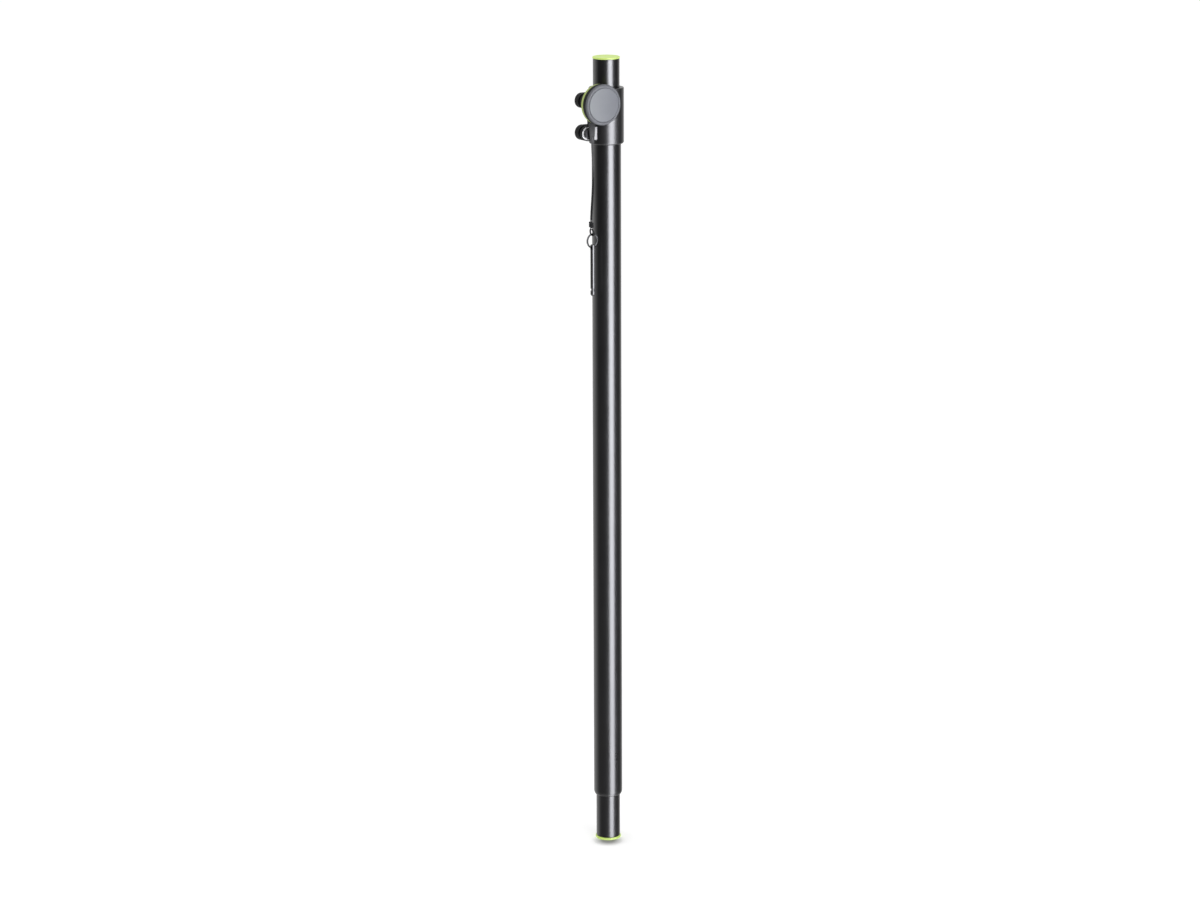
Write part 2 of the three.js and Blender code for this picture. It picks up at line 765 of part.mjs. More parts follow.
function makeSplitRing() {
  const ring = new THREE.TorusGeometry(ring_radius, ring_wire_radius, cord_sides, ring_steps);
  return closedForm(ring.rotateX(quarter_turn));
}

// The pin is drawn from its tip at height zero.
function makeLockingPin() {
  const groove_top = pin_groove_height + pin_groove_width;
  const groove_radius = pin_radius - pin_groove_depth;
  const body = turned([
    [0, 0],
    [pin_tip_radius, 0],
    [pin_radius, pin_tip_height],
    [pin_radius, pin_groove_height],
    [groove_radius, pin_groove_height + pin_groove_slope],
    [groove_radius, groove_top - pin_groove_slope],
    [pin_radius, groove_top],
    ...roundEdge(pin_radius - pin_head_round, pin_length - pin_head_round, pin_head_round,
      pin_head_round, 0, quarter_turn, round_steps),
    [0, pin_length],
  ], small_sides);
  const eye = rod(pin_eye_radius, -pin_diameter, pin_diameter, small_sides);
  eye.rotateY(quarter_turn).translate(0, 0, pin_length - pin_eye_rim - pin_eye_radius);
  return carved(body, [], [eye]);
}

// The pole, put together

const speaker_pole = new THREE.Group();

speaker_pole.add(
  piece('outer_tube', makeOuterTube(), 'satin_black'),
  piece('spigot_tube', makeSpigotTube(), 'satin_black'),
  piece('spigot_sleeve', makeSpigotSleeve(), 'nylon'),
  piece('foot_cap', makeFootCap(), 'lime_plastic'),
  piece('inner_tube', makeInnerTube(), 'satin_black'),
  piece('mast_plug', makeMastPlug(), 'nylon'),
  piece('top_cap', makeTopCap(), 'lime_plastic'),
  piece('clamp_collar', makeClampCollar(), 'black_plastic'),
  piece('collar_bush', makeCollarBush(), 'nylon'),
);

const lower_clamp = new THREE.Group();
lower_clamp.position.set(-bolt_offset, 0, lower_bolt_height);
lower_clamp.rotation.x = quarter_turn;
lower_clamp.add(
  piece('lower_bolt', makeLowerBolt(), 'zinc_steel'),
  piece('lower_nut', makeNut(), 'zinc_steel'),
);

const upper_clamp = new THREE.Group();
upper_clamp.position.set(-bolt_offset, 0, upper_bolt_height);
upper_clamp.rotation.x = quarter_turn;
upper_clamp.add(
  piece('upper_nut', makeNut(), 'zinc_steel'),
  piece('thrust_washer', makeThrustWasher(), 'zinc_steel'),
  piece('stud_spacer', makeStudSpacer(), 'black_plastic'),
  piece('clamp_stud', makeClampStud(), 'zinc_steel'),
  piece('knob_body', makeKnobBody(), 'black_plastic'),
  piece('knob_ring', makeKnobRing(), 'lime_plastic'),
  piece('knob_pad', makeKnobPad(), 'pad_rubber'),
  piece('lanyard_hanger', makeLanyardHanger(), 'dark_grey_rubber'),
);

const knot = piece('lanyard_knot', makeLanyardKnot(), 'black_cord');
knot.position.set(cord_end.x, cord_end.y, knot_top - knot_height / 2);

const ring = piece('split_ring', makeSplitRing(), 'chrome_wire');
ring.position.copy(ring_centre);
ring.rotation.z = ring_turn;

const pin = piece('locking_pin', makeLockingPin(), 'zinc_steel');
pin.position.set(ring_centre.x, ring_centre.y, pin_top - pin_length);
pin.rotation.z = ring_turn;

speaker_pole.add(
  lower_clamp,
  upper_clamp,
  piece('lanyard_cord', makeLanyardCord(), 'black_cord'),
  knot,
  piece('cord_loop', makeCordLoop(), 'black_cord'),
  ring,
  pin,
);

export default speaker_pole;
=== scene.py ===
# %% [markdown]
# # A telescopic speaker pole
#
# The pole stands on its lime foot cap with the inner tube pushed all the way in. A split collar
# clamps the inner tube, a round hand knob pulls the collar tight, and a steel locking pin hangs
# from the knob on a short lanyard.
#
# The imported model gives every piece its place. It is loaded first and never moved: a finer piece
# is modelled in the same place and then stands for the plain one. Sizes are written in
# millimetres, as on a workshop drawing, and turned into metres where a mesh is made.

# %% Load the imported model
from math import cos, pi, radians, sin, tan, tau

import bmesh
import bpy
from mathutils import Matrix, Vector


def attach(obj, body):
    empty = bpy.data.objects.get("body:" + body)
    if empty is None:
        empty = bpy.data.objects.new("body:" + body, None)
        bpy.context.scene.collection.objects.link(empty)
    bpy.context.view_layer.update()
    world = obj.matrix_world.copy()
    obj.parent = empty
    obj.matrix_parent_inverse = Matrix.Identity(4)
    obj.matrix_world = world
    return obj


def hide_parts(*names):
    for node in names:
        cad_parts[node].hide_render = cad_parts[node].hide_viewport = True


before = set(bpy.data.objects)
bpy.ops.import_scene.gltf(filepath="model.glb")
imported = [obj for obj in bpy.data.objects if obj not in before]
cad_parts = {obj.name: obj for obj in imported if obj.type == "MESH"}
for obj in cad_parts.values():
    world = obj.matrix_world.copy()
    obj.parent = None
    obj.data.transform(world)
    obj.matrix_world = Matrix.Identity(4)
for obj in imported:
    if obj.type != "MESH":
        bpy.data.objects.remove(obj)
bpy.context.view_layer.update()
mm = 0.001

# %% [markdown]
# ## Camera
#
# The picture was taken with a long lens from about four and a half metres, a little above the
# pole's top. A long lens keeps both ends of a tall object in proportion. The camera could be
# aimed by eye, but its tilt was worked out from the widths of the tubes and the round ends, so it
# is set from numbers. The pole leans a hair in the picture, which is the camera's roll.

# %% Camera at the picture's angle
camera_distance = 4.5                # metres from the pole's axis
camera_height = 1.6694
camera_azimuth = radians(-33)
camera_pan = radians(0.123)          # the pole stands just right of the picture's middle
camera_tilt = radians(-13.99)
camera_roll = radians(-0.19)
focal_length, sensor_width = 103.82, 36
picture_width, picture_height = 1200, 900


def new_object(name, data):
    """A new object of the scene at the origin, with that mesh, curve, lamp or camera."""
    made = bpy.data.objects.new(name, data)
    bpy.context.scene.collection.objects.link(made)
    return made


lens = bpy.data.cameras.new("studio_camera")
lens.sensor_width = sensor_width
lens.lens = focal_length
lens.clip_start, lens.clip_end = 0.1, 100
camera = new_object("studio_camera", lens)
camera.matrix_world = (
    Matrix.Translation((sin(camera_azimuth) * camera_distance,
                        -cos(camera_azimuth) * camera_distance, camera_height))
    @ Matrix.Rotation(camera_azimuth + camera_pan, 4, "Z")
    @ Matrix.Rotation(pi / 2 + camera_tilt, 4, "X")
    @ Matrix.Rotation(camera_roll, 4, "Z"))
bpy.context.scene.camera = camera
bpy.context.scene.view_settings.view_transform = "Standard"


def pixel(x, y, z):
    """Where a point in millimetres falls in the picture, in pixels from its top left corner."""
    seen = camera.matrix_world.inverted() @ (Vector((x, y, z)) * mm)
    scale = picture_width * focal_length / sensor_width / -seen.z
    return (round(picture_width / 2 + seen.x * scale, 1),
            round(picture_height / 2 - seen.y * scale, 1))


print("top of the cap at", pixel(0, 0, 1077), "and the foot at", pixel(0, 0, 0))

# %% [markdown]
# ## Tools for nodes
#
# Both the materials and the Geometry Nodes trees are built in code. One helper adds a node and
# fills its sockets, either with a constant or with another node's output, so that a tree reads
# from its inputs to its result. A second one makes a group with named inputs and outputs. Short
# ones stand for the nodes that are needed most.

# %% Node helpers
def put(tree, kind, values=None, **options):
    """A new node. values fills its sockets by name or number; an output there becomes a link."""
    made = tree.nodes.new(kind)
    for option, choice in options.items():
        setattr(made, option, choice)
    for socket, value in (values or {}).items():
        if isinstance(value, bpy.types.NodeSocket):
            tree.links.new(value, made.inputs[socket])
        else:
            made.inputs[socket].default_value = value
    return made


def node_group(name, kind, inputs, outputs):
    """An empty group of that kind, with the outputs of its input node and its output node."""
    tree = bpy.data.node_groups.new(name, kind)
    for label, socket_type, value in inputs:
        socket = tree.interface.new_socket(label, in_out="INPUT", socket_type=socket_type)
        if value is not None:
            socket.default_value = value
    for label, socket_type in outputs:
        tree.interface.new_socket(label, in_out="OUTPUT", socket_type=socket_type)
    return tree, tree.nodes.new("NodeGroupInput").outputs, tree.nodes.new("NodeGroupOutput")


def maths(tree, deed, *terms):
    return put(tree, "ShaderNodeMath", dict(enumerate(terms)), operation=deed).outputs[0]


def times(tree, first, second):
    return maths(tree, "MULTIPLY", first, second)


finishes = {}


def finish(name):
    """The material of that name. It is made empty where it is first needed."""
    if name not in finishes:
        finishes[name] = bpy.data.materials.new(name)
        finishes[name].use_nodes = True
        finishes[name].node_tree.nodes.clear()
    return finishes[name]


# %% [markdown]
# ## Tools for meshes
#
# Most of this object was turned, drawn or moulded round an axis, so most pieces are an outline
# turned about the pole or about a bolt. A real edge is never quite sharp, and it is the small
# round along it that catches the light, so each corner of an outline may have its own radius.
# The result of any modifier is turned into a plain mesh, so that nothing live is left on a piece.

# %% Mesh helpers
weld_distance = 1e-7                 # in metres, far below any real edge


def as_piece(name, form):
    """A bmesh as a new object at the origin, with its faces turned outwards."""
    bmesh.ops.remove_doubles(form, verts=form.verts, dist=weld_distance)
    bmesh.ops.recalc_face_normals(form, faces=form.faces)
    mesh = bpy.data.meshes.new(name)
    form.to_mesh(mesh)
    form.free()
    return new_object(name, mesh)


def settled(piece):
    """A piece whose modifiers or curves have become its own plain mesh."""
    name = piece.name
    seen = piece.evaluated_get(bpy.context.evaluated_depsgraph_get())
    mesh = bpy.data.meshes.new_from_object(seen)
    piece.name = name + "_old"
    made = new_object(name, mesh)
    bpy.data.objects.remove(piece)
    return made


def smoothed(piece, angle=32):
    """Smooth shading up to that angle, with flat faces kept flat beside their rounded edges."""
    piece.data.polygons.foreach_set("use_smooth", [True] * len(piece.data.polygons))
    piece.data.set_sharp_from_angle(angle=radians(angle))
    weigh = piece.modifiers.new("flat_faces_first", "WEIGHTED_NORMAL")
    weigh.keep_sharp = True
    return settled(piece)


def eased(corners, steps=5):
    """An outline from corners (across, along) or (across, along, radius), its rounds drawn."""
    outline = []
    for number, corner in enumerate(corners):
        here = Vector(corner[:2])
        if len(corner) < 3:
            outline.append(here)
            continue
        back = (Vector(corners[number - 1][:2]) - here).normalized()
        ahead = (Vector(corners[(number + 1) % len(corners)][:2]) - here).normalized()
        half = back.angle(ahead) / 2
        middle = here + (back + ahead).normalized() * corner[2] / sin(half)
        first = here + back * corner[2] / tan(half) - middle
        last = here + ahead * corner[2] / tan(half) - middle
        sweep = pi - 2 * half
        for step in range(steps + 1):
            share = step / steps
            outline.append(middle + (first * sin(sweep * (1 - share)) + last * sin(sweep * share))
                           / sin(sweep))
    return outline


def on_pole(radius, turn, reach):
    """A point round the pole's own axis, with its reach measured up from the floor."""
    return Vector((radius * cos(turn), radius * sin(turn), reach)) * mm


def turned(name, corners, place=on_pole, sides=160, steps=5):
    """A closed form turned from (radius, reach) corners round the axis that place gives."""
    outline = eased(corners, steps)
    form = bmesh.new()
    rings = [[form.verts.new(place(point.x, tau * side / sides, point.y)) for point in outline]
             for side in range(sides)]
    for side in range(sides):
        one, next_one = rings[side - 1], rings[side]
        for i in range(len(outline)):
            form.faces.new((one[i - 1], one[i], next_one[i], next_one[i - 1]))
    return as_piece(name, form)


# %% [markdown]
# ## Lanyard cord
#
# The cord is a round braid of black yarn, about three millimetres thick and ten centimetres long.
# It leaves the end of the rubber hanger, hangs straight down under the weight of the pin and ends
# in a knot. A plain tube would do from far off, but a braid shows its strands close by. A braid
# follows a rule: as many strands wind to the left as to the right, and each passes over one
# crossing strand and under the next. Geometry Nodes draw one straight strand, copy it, and lay
# the copies round the path. Every tree of Geometry Nodes here ends alike: its copies are made
# real and get their material.

# %% The cord's route
cord_diameter = 3.2
cord_exit = Vector((-31.277, -14.5, 967.412))
cord_route = [
    (0, 0, 0), (0.1, 0, -4.4), (0.3, -0.1, -10.4), (0.5, -0.3, -17.4), (0.8, -0.4, -25.4),
    (0.9, -0.5, -33.4), (1, -0.5, -41.4), (0.8, -0.5, -49.4), (0.5, -0.4, -57.4),
    (0.1, -0.3, -65.4), (-0.4, -0.2, -73.4), (-0.9, -0.1, -81.4), (-1.4, 0, -89.4),
    (-1.8, 0, -96.4), (-2, 0, -102.1),
]


def smooth_path(points, steps=4):
    """A smooth line through the points, which are in millimetres, as points in metres."""
    points = [Vector(point) * mm for point in points]
    line = [points[0]]
    for i in range(len(points) - 1):
        a, b = points[max(i - 1, 0)], points[i]
        c, d = points[i + 1], points[min(i + 2, len(points) - 1)]
        for step in range(1, steps + 1):
            t = step / steps
            line.append((2 * b + (c - a) * t + (2 * a - 5 * b + 4 * c - d) * t ** 2
                         + (3 * b - a - 3 * c + d) * t ** 3) / 2)
    return line


def line_length(line):
    return sum((b - a).length for a, b in zip(line, line[1:]))


cord_path = smooth_path([cord_exit + Vector(offset) for offset in cord_route], steps=2)
print("cord length in mm:", round(line_length(cord_path) / mm, 1))

# %% Helpers for Geometry Nodes
def vector_maths(tree, deed, first, values):
    return put(tree, "ShaderNodeVectorMath", {0: first, **values}, operation=deed).outputs[0]


def together(tree, *parts):
    """Several geometries of a tree as one."""
    both = put(tree, "GeometryNodeJoinGeometry")
    for part in parts:
        tree.links.new(part, both.inputs[0])
    return both.outputs[0]


def end_tree(tree, result, geometry, material, smooth=False):
    """Ends a Geometry Nodes tree in real geometry that carries its material."""
    geometry = put(tree, "GeometryNodeRealizeInstances", {0: geometry}).outputs[0]
    if smooth:
        geometry = put(tree, "GeometryNodeSetShadeSmooth", {"Geometry": geometry}).outputs[0]
    dressed = put(tree, "GeometryNodeSetMaterial", {"Geometry": geometry, "Material": material})
    tree.links.new(dressed.outputs[0], result.inputs[0])


def grow(piece, tree, values):
    """Runs a Geometry Nodes tree on a piece, with its named inputs set."""
    step = piece.modifiers.new(tree.name, "NODES")
    step.node_group = tree
    for item in tree.interface.items_tree:
        if item.in_out == "INPUT" and item.name in values:
            step[item.identifier] = values[item.name]


# %% Braid tree: one straight strand and its place round the cord
braid, given, result = node_group("braid_round_a_path", "GeometryNodeTree", [
    ("Path", "NodeSocketGeometry", None),
    ("Cord Radius", "NodeSocketFloat", 1.6 * mm),
    ("Strand Radius", "NodeSocketFloat", 0.34 * mm),
    ("Strands Each Way", "NodeSocketInt", 6),
    ("Lay Length", "NodeSocketFloat", 11 * mm),
    ("Steps", "NodeSocketInt", 400),
    ("Yarn", "NodeSocketMaterial", None),
], [("Geometry", "NodeSocketGeometry")])
straight = put(braid, "GeometryNodeCurvePrimitiveLine", {"Start": (0, 0, 0), "End": (1, 0, 0)})
strand = put(braid, "GeometryNodeResampleCurve",
             {"Curve": straight.outputs["Curve"], "Count": given["Steps"]})
copies = put(braid, "GeometryNodeDuplicateElements", {
    "Geometry": strand.outputs["Curve"],
    "Amount": times(braid, given["Strands Each Way"], 2.0)}, domain="SPLINE")
number = copies.outputs["Duplicate Index"]
progress = put(braid, "GeometryNodeSplineParameter").outputs["Factor"]
way = maths(braid, "SUBTRACT", 1.0, times(braid, maths(braid, "MODULO", number, 2.0), 2.0))
first_turn = maths(braid, "DIVIDE", maths(braid, "FLOOR", maths(braid, "DIVIDE", number, 2.0)),
                   given["Strands Each Way"])
length = put(braid, "GeometryNodeCurveLength", {"Curve": given["Path"]}).outputs["Length"]
turns = times(braid, maths(braid, "DIVIDE", length, given["Lay Length"]), progress)
angle = times(braid, maths(braid, "ADD", times(braid, turns, way), first_turn), tau)
crossing = maths(braid, "COSINE", times(braid, times(braid, turns, given["Strands Each Way"]), tau))
lift = times(braid, times(braid, crossing, way), times(braid, given["Strand Radius"], 0.5))
base_radius = maths(braid, "SUBTRACT", given["Cord Radius"],
                    times(braid, given["Strand Radius"], 1.5))
radius = maths(braid, "ADD", base_radius, lift)
print("braid nodes so far:", len(braid.nodes))

# %% Braid tree: strands and core along the path
route = put(braid, "GeometryNodeSampleCurve", {"Curves": given["Path"], "Factor": progress},
            mode="FACTOR")
upward = route.outputs["Normal"]
sideways = vector_maths(braid, "CROSS_PRODUCT", route.outputs["Tangent"], {1: upward})
out = vector_maths(
    braid, "ADD", vector_maths(braid, "SCALE", upward, {"Scale": maths(braid, "COSINE", angle)}),
    {1: vector_maths(braid, "SCALE", sideways, {"Scale": maths(braid, "SINE", angle)})})
laid = put(braid, "GeometryNodeSetPosition", {
    "Geometry": copies.outputs["Geometry"],
    "Position": vector_maths(braid, "ADD", route.outputs["Position"],
                             {1: vector_maths(braid, "SCALE", out, {"Scale": radius})})})
section = put(braid, "GeometryNodeCurvePrimitiveCircle",
              {"Resolution": 5, "Radius": given["Strand Radius"]})
strands = put(braid, "GeometryNodeCurveToMesh", {
    "Curve": laid.outputs[0], "Profile Curve": section.outputs[0], "Fill Caps": True})
core_radius = maths(braid, "SUBTRACT", base_radius, times(braid, given["Strand Radius"], 0.2))
core_section = put(braid, "GeometryNodeCurvePrimitiveCircle",
                   {"Resolution": 12, "Radius": core_radius})
core = put(braid, "GeometryNodeCurveToMesh", {
    "Curve": given["Path"], "Profile Curve": core_section.outputs[0], "Fill Caps": True})
end_tree(braid, result, together(braid, strands.outputs[0], core.outputs[0]), given["Yarn"],
         smooth=True)
print("braid tree nodes:", len(braid.nodes))


# %% Braid the cord
def path_curve(name, line):
    """An open curve along a line of points, for a tree to follow."""
    curve = bpy.data.curves.new(name, "CURVE")
    curve.dimensions = "3D"
    spline = curve.splines.new("POLY")
    spline.points.add(len(line) - 1)
    for point, place in zip(spline.points, line):
        point.co = (*place, 1)
    return new_object(name, curve)


def braided(name, line, diameter, strand, lay, each_way, steps):
    """A braided cord along a line, as a plain mesh. strand is the radius of one strand."""
    piece = path_curve(name, line)
    grow(piece, braid, {
        "Cord Radius": diameter / 2 * mm, "Strand Radius": strand * mm, "Lay Length": lay * mm,
        "Strands Each Way": each_way, "Steps": steps, "Yarn": finish("braided_yarn")})
    return settled(piece)


cord = braided("lanyard_braid", cord_path, cord_diameter, strand=0.26, lay=11, each_way=8,
               steps=460)
print("cord faces:", len(cord.data.polygons))

# %% [markdown]
# ## Knot and loop
#
# The cord ends in a barrel knot: a few tight turns round its own standing part. Below the knot a
# thinner loop of the same braid holds the ring. Both could be modelled by hand, but they are the
# same cord on other paths, so the same tree makes them. The knot's path is a short screw line
# whose ends turn inwards, where the real cord tucks under itself.

# %% Tie the knot and hang the loop
knot_top, knot_bottom = 865.0, 854.6
knot_axis = Vector((-33.3, -14.5, 0))
knot_strand, knot_girth, knot_turns = 2.6, 6.7, 3.3
knot_steps, tuck_share = 66, 0.09    # the tucked share of the screw line at each of its ends
screw = []
for step in range(knot_steps + 1):
    share = step / knot_steps
    tuck = min(share, 1 - share) / tuck_share
    out_radius = (knot_girth - knot_strand) / 2 * (1 if tuck > 1 else 0.25 + 0.75 * tuck)
    turn = share * knot_turns * tau
    rise = (knot_top - knot_bottom - knot_strand) * (0.5 - share)
    screw.append((knot_axis + Vector((out_radius * cos(turn), out_radius * sin(turn),
                                      (knot_top + knot_bottom) / 2 + rise))) * mm)
knot = braided("lanyard_knot_braid", screw, knot_strand, strand=0.27, lay=6, each_way=5,
               steps=260)

ring_middle = Vector((-31.4, -14.5, 838.5))
ring_turn = radians(9)
ring_normal = Vector((sin(ring_turn), -cos(ring_turn), 0))
loop_top, loop_length, loop_cord = 854.3, 8.75, 2.3
loop_drift = ring_middle.x - knot_axis.x     # the loop slants from the knot towards the ring
loop_sides = [(1.2, 0), (3.2, 0.4), (3.2, 0.7), (2.263, 0.93), (0, 1)]
loop_points = []
for side_width, share in loop_sides + [(-width, share) for width, share in loop_sides[-2::-1]]:
    middle_x = knot_axis.x + loop_drift * share
    loop_points.append(Vector((middle_x, knot_axis.y, loop_top - loop_length * share))
                       - ring_normal * side_width)
loop = braided("lanyard_loop_braid", smooth_path(loop_points), loop_cord, strand=0.28, lay=5,
               each_way=4, steps=140)
print("knot and loop faces:", len(knot.data.polygons), len(loop.data.polygons))

# %% [markdown]
# ## Split ring
#
# A split ring is a flat steel wire wound twice, so that a key or a pin can be fed in between the
# turns. A torus would hide that, so the wire follows its true path here: one turn, a short step
# sideways, and a second turn beside the first. The tree sweeps a rounded wire section along it.

# %% Wind the ring
wire_tree, given, result = node_group("flat_wire_along_a_path", "GeometryNodeTree", [
    ("Path", "NodeSocketGeometry", None),
    ("Wire Width", "NodeSocketFloat", 1.8 * mm),
    ("Wire Thickness", "NodeSocketFloat", 0.86 * mm),
    ("Corner Radius", "NodeSocketFloat", 0.25 * mm),
    ("Finish", "NodeSocketMaterial", None),
], [("Geometry", "NodeSocketGeometry")])
upright = put(wire_tree, "GeometryNodeSetCurveNormal", {"Curve": given["Path"]}, mode="Z_UP")
oblong = put(wire_tree, "GeometryNodeCurvePrimitiveQuadrilateral",
             {"Width": given["Wire Width"], "Height": given["Wire Thickness"]})
softened = put(wire_tree, "GeometryNodeFilletCurve",
               {"Curve": oblong.outputs[0], "Radius": given["Corner Radius"], "Count": 4},
               mode="POLY")
swept = put(wire_tree, "GeometryNodeCurveToMesh", {
    "Curve": upright.outputs[0], "Profile Curve": softened.outputs[0], "Fill Caps": True})
end_tree(wire_tree, result, swept.outputs[0], given["Finish"])

wire_width, wire_thickness, coil_gap = 1.8, 0.86, 0.06
ring_diameter = 19.9
ring_radius = ring_diameter / 2 - wire_width / 2
step_turn, end_gap, ends_turn = radians(26), radians(3), radians(70)
winding_steps = 240
winding = []
for step in range(winding_steps + 1):
    turn = (2 * tau - step_turn - end_gap) * step / winding_steps
    share = min(max((turn - (tau - step_turn)) / step_turn, 0), 1)
    shift = (share * share * (3 - 2 * share) - 0.5) * (wire_thickness + coil_gap)
    winding.append(Vector((ring_radius * cos(turn), ring_radius * sin(turn), shift)) * mm)
ring = path_curve("split_ring_wire", winding)
grow(ring, wire_tree, {"Wire Width": wire_width * mm, "Wire Thickness": wire_thickness * mm,
                       "Finish": finish("polished_wire")})
ring = settled(ring)
ring.data.transform(Matrix.Translation(ring_middle * mm) @ Matrix.Rotation(ring_turn, 4, "Z")
                    @ Matrix.Rotation(pi / 2, 4, "X") @ Matrix.Rotation(ends_turn, 4, "Z"))
ring = smoothed(ring)
print("ring faces:", len(ring.data.polygons))

# %% [markdown]
# ## Locking pin
#
# The pin goes through a hole in the inner tube and rests on the collar, so that the pole can't
# slide down. It is a turned steel rod with a tapered tip, a shallow groove and a cross hole for
# the ring. It is turned from its outline, and the hole is drilled with a cutter that flares at
# both mouths, as a countersink leaves it.

# %% Turn and drill the pin
def carved(base, joined=(), cuts=()):
    """The base with other pieces joined to it and cut out of it. They are used up."""
    for tools, deed in ((joined, "UNION"), (cuts, "DIFFERENCE")):
        for tool in tools:
            step = base.modifiers.new(deed.lower(), "BOOLEAN")
            step.operation, step.object, step.solver = deed, tool, "EXACT"
    made = settled(base)
    for tool in (*joined, *cuts):
        bpy.data.objects.remove(tool)
    return made


pin_radius, pin_length, pin_top = 3.15, 68.7, 833.6
tip_radius, tip_height, head_round = 1.9, 2, 1.6
groove_radius, groove_low, groove_high, groove_slope = 2.3, 6.6, 10, 0.8
cross_hole, cross_hole_mouth, cross_hole_rim = 2.3, 3.2, 2.4
drill_reach, countersink_start = 4, 2.7
pin_bottom = pin_top - pin_length
cross_hole_rise = pin_length - cross_hole_rim - cross_hole


def on_pin(radius, turn, reach):
    """A point round the pin's axis, with its reach measured up from its tip."""
    return Vector((ring_middle.x + radius * cos(turn), ring_middle.y + radius * sin(turn),
                   pin_bottom + reach)) * mm


def across_pin(radius, turn, reach):
    """A point round the cross hole's axis, which runs along the ring's wire at its lowest place."""
    middle = Vector((ring_middle.x, ring_middle.y, pin_bottom + cross_hole_rise))
    along_hole = Vector((cos(ring_turn), sin(ring_turn), 0)) * reach
    around = ring_normal * radius * cos(turn) + Vector((0, 0, radius * sin(turn)))
    return (middle + along_hole + around) * mm


pin = turned("locking_pin_rod", [
    (0, 0), (tip_radius, 0, 0.3), (pin_radius, tip_height, 0.8), (pin_radius, groove_low, 0.2),
    (groove_radius, groove_low + groove_slope, 0.3),
    (groove_radius, groove_high - groove_slope, 0.3), (pin_radius, groove_high, 0.2),
    (pin_radius, 40), (pin_radius, 58), (pin_radius, pin_length, head_round),
    (0, pin_length)], on_pin, sides=96)
drill = turned("drill", [
    (0, -drill_reach), (cross_hole_mouth, -drill_reach), (cross_hole, -countersink_start),
    (cross_hole, countersink_start), (cross_hole_mouth, drill_reach), (0, drill_reach)],
    across_pin, sides=48)
pin = smoothed(carved(pin, cuts=[drill]))
print("pin faces:", len(pin.data.polygons))

# %% [markdown]
# ## Tubes and end caps
#
# Three steel tubes make the pole. The outer one is rolled in at its lower end, where the spigot
# comes out, and lime plastic caps close the two free ends. All of them are turned outlines. The
# caps get small rounds on their free edges, and the upper one is dished by a fraction of a
# millimetre, so that its rim shows as a brighter line.

# %% Turn the tubes and caps
tube_radius, tube_bore, tube_top = 19.3, 18.0, 1000
spigot_radius, spigot_bore, spigot_bottom, spigot_top = 16.15, 14.65, 3.3, 106
rolled_bore, rolled_bottom, rolled_top = 16.45, 63, 69
foot_cap_radius, foot_cap_height, foot_recess = 17.25, 3, 0.5
foot_plug_radius, foot_plug_bore, foot_plug_top = 14.35, 12.35, 24
pole_top, top_cap_radius, top_cap_bottom, top_dish = 1077, 18, 1074.7, 0.4
top_plug_radius, top_plug_bore, top_plug_bottom = 15.7, 13.7, 1050.7

roll_width, roll_height = tube_radius - rolled_bore, rolled_top - rolled_bottom
rolled_in = [(rolled_bore + roll_width * cos(radians(a)), rolled_top + roll_height * sin(radians(a)))
             for a in range(-72, 1, 8)]
outer_tube = smoothed(turned("outer_tube_skin", [
    (rolled_bore, rolled_bottom), (rolled_in[0][0], rolled_bottom, 0.25), *rolled_in,
    (tube_radius, 400), (tube_radius, tube_top, 0.3), (tube_bore, tube_top, 0.3),
    (tube_bore, 70.3), (17.6, 67.5), (rolled_bore, 65)]))
spigot = smoothed(turned("spigot_tube_skin", [
    (spigot_bore, spigot_bottom), (spigot_radius, spigot_bottom, 0.3),
    (spigot_radius, spigot_top, 0.4), (spigot_bore, spigot_top, 0.3)]))
foot_cap = smoothed(turned("foot_cap_moulding", [
    (0, foot_recess), (11, foot_recess, 0.3), (11.8, 0, 0.3), (foot_cap_radius, 0, 0.8),
    (foot_cap_radius, foot_cap_height, 0.35), (foot_plug_radius, foot_cap_height),
    (foot_plug_radius, foot_plug_top, 0.5), (foot_plug_bore, foot_plug_top, 0.5),
    (foot_plug_bore, foot_cap_height), (0, foot_cap_height)]))
top_cap = smoothed(turned("top_cap_moulding", [
    (0, pole_top - top_dish), (15.6, pole_top - top_dish, 0.3), (16.2, pole_top, 0.3),
    (top_cap_radius, pole_top, 0.75), (top_cap_radius, top_cap_bottom, 0.3),
    (top_plug_radius, top_cap_bottom), (top_plug_radius, top_plug_bottom, 0.5),
    (top_plug_bore, top_plug_bottom, 0.5), (top_plug_bore, top_cap_bottom),
    (0, top_cap_bottom)]))
print("outer tube height in mm:", round(outer_tube.dimensions.z / mm, 1))

# %% [markdown]
# ## Holes of the inner tube
#
# A row of cross holes at every hundred millimetres takes the locking pin. They repeat by a rule,
# so a tree stands one cutter at each place of the row and takes them all out of the tube at once.
# The cutter flares a little where it meets the tube's wall, which leaves a broken edge.

# %% Punch the inner tube
punch_tree, given, result = node_group("row_of_cross_holes", "GeometryNodeTree", [
    ("Tube", "NodeSocketGeometry", None),
    ("Cutter", "NodeSocketObject", None),
    ("Top Hole Height", "NodeSocketFloat", 900 * mm),
    ("Pitch", "NodeSocketFloat", 100 * mm),
    ("Count", "NodeSocketInt", 1),
    ("Finish", "NodeSocketMaterial", None),
], [("Geometry", "NodeSocketGeometry")])
top_hole = put(punch_tree, "ShaderNodeCombineXYZ", {"Z": given["Top Hole Height"]})
step_down = put(punch_tree, "ShaderNodeCombineXYZ",
                {"Z": times(punch_tree, given["Pitch"], -1.0)})
places = put(punch_tree, "GeometryNodeMeshLine", {
    "Count": given["Count"], "Start Location": top_hole.outputs[0],
    "Offset": step_down.outputs[0]}, mode="OFFSET")
cutter = put(punch_tree, "GeometryNodeObjectInfo", {"Object": given["Cutter"]})
cutters = put(punch_tree, "GeometryNodeInstanceOnPoints",
              {"Points": places.outputs[0], "Instance": cutter.outputs["Geometry"]})
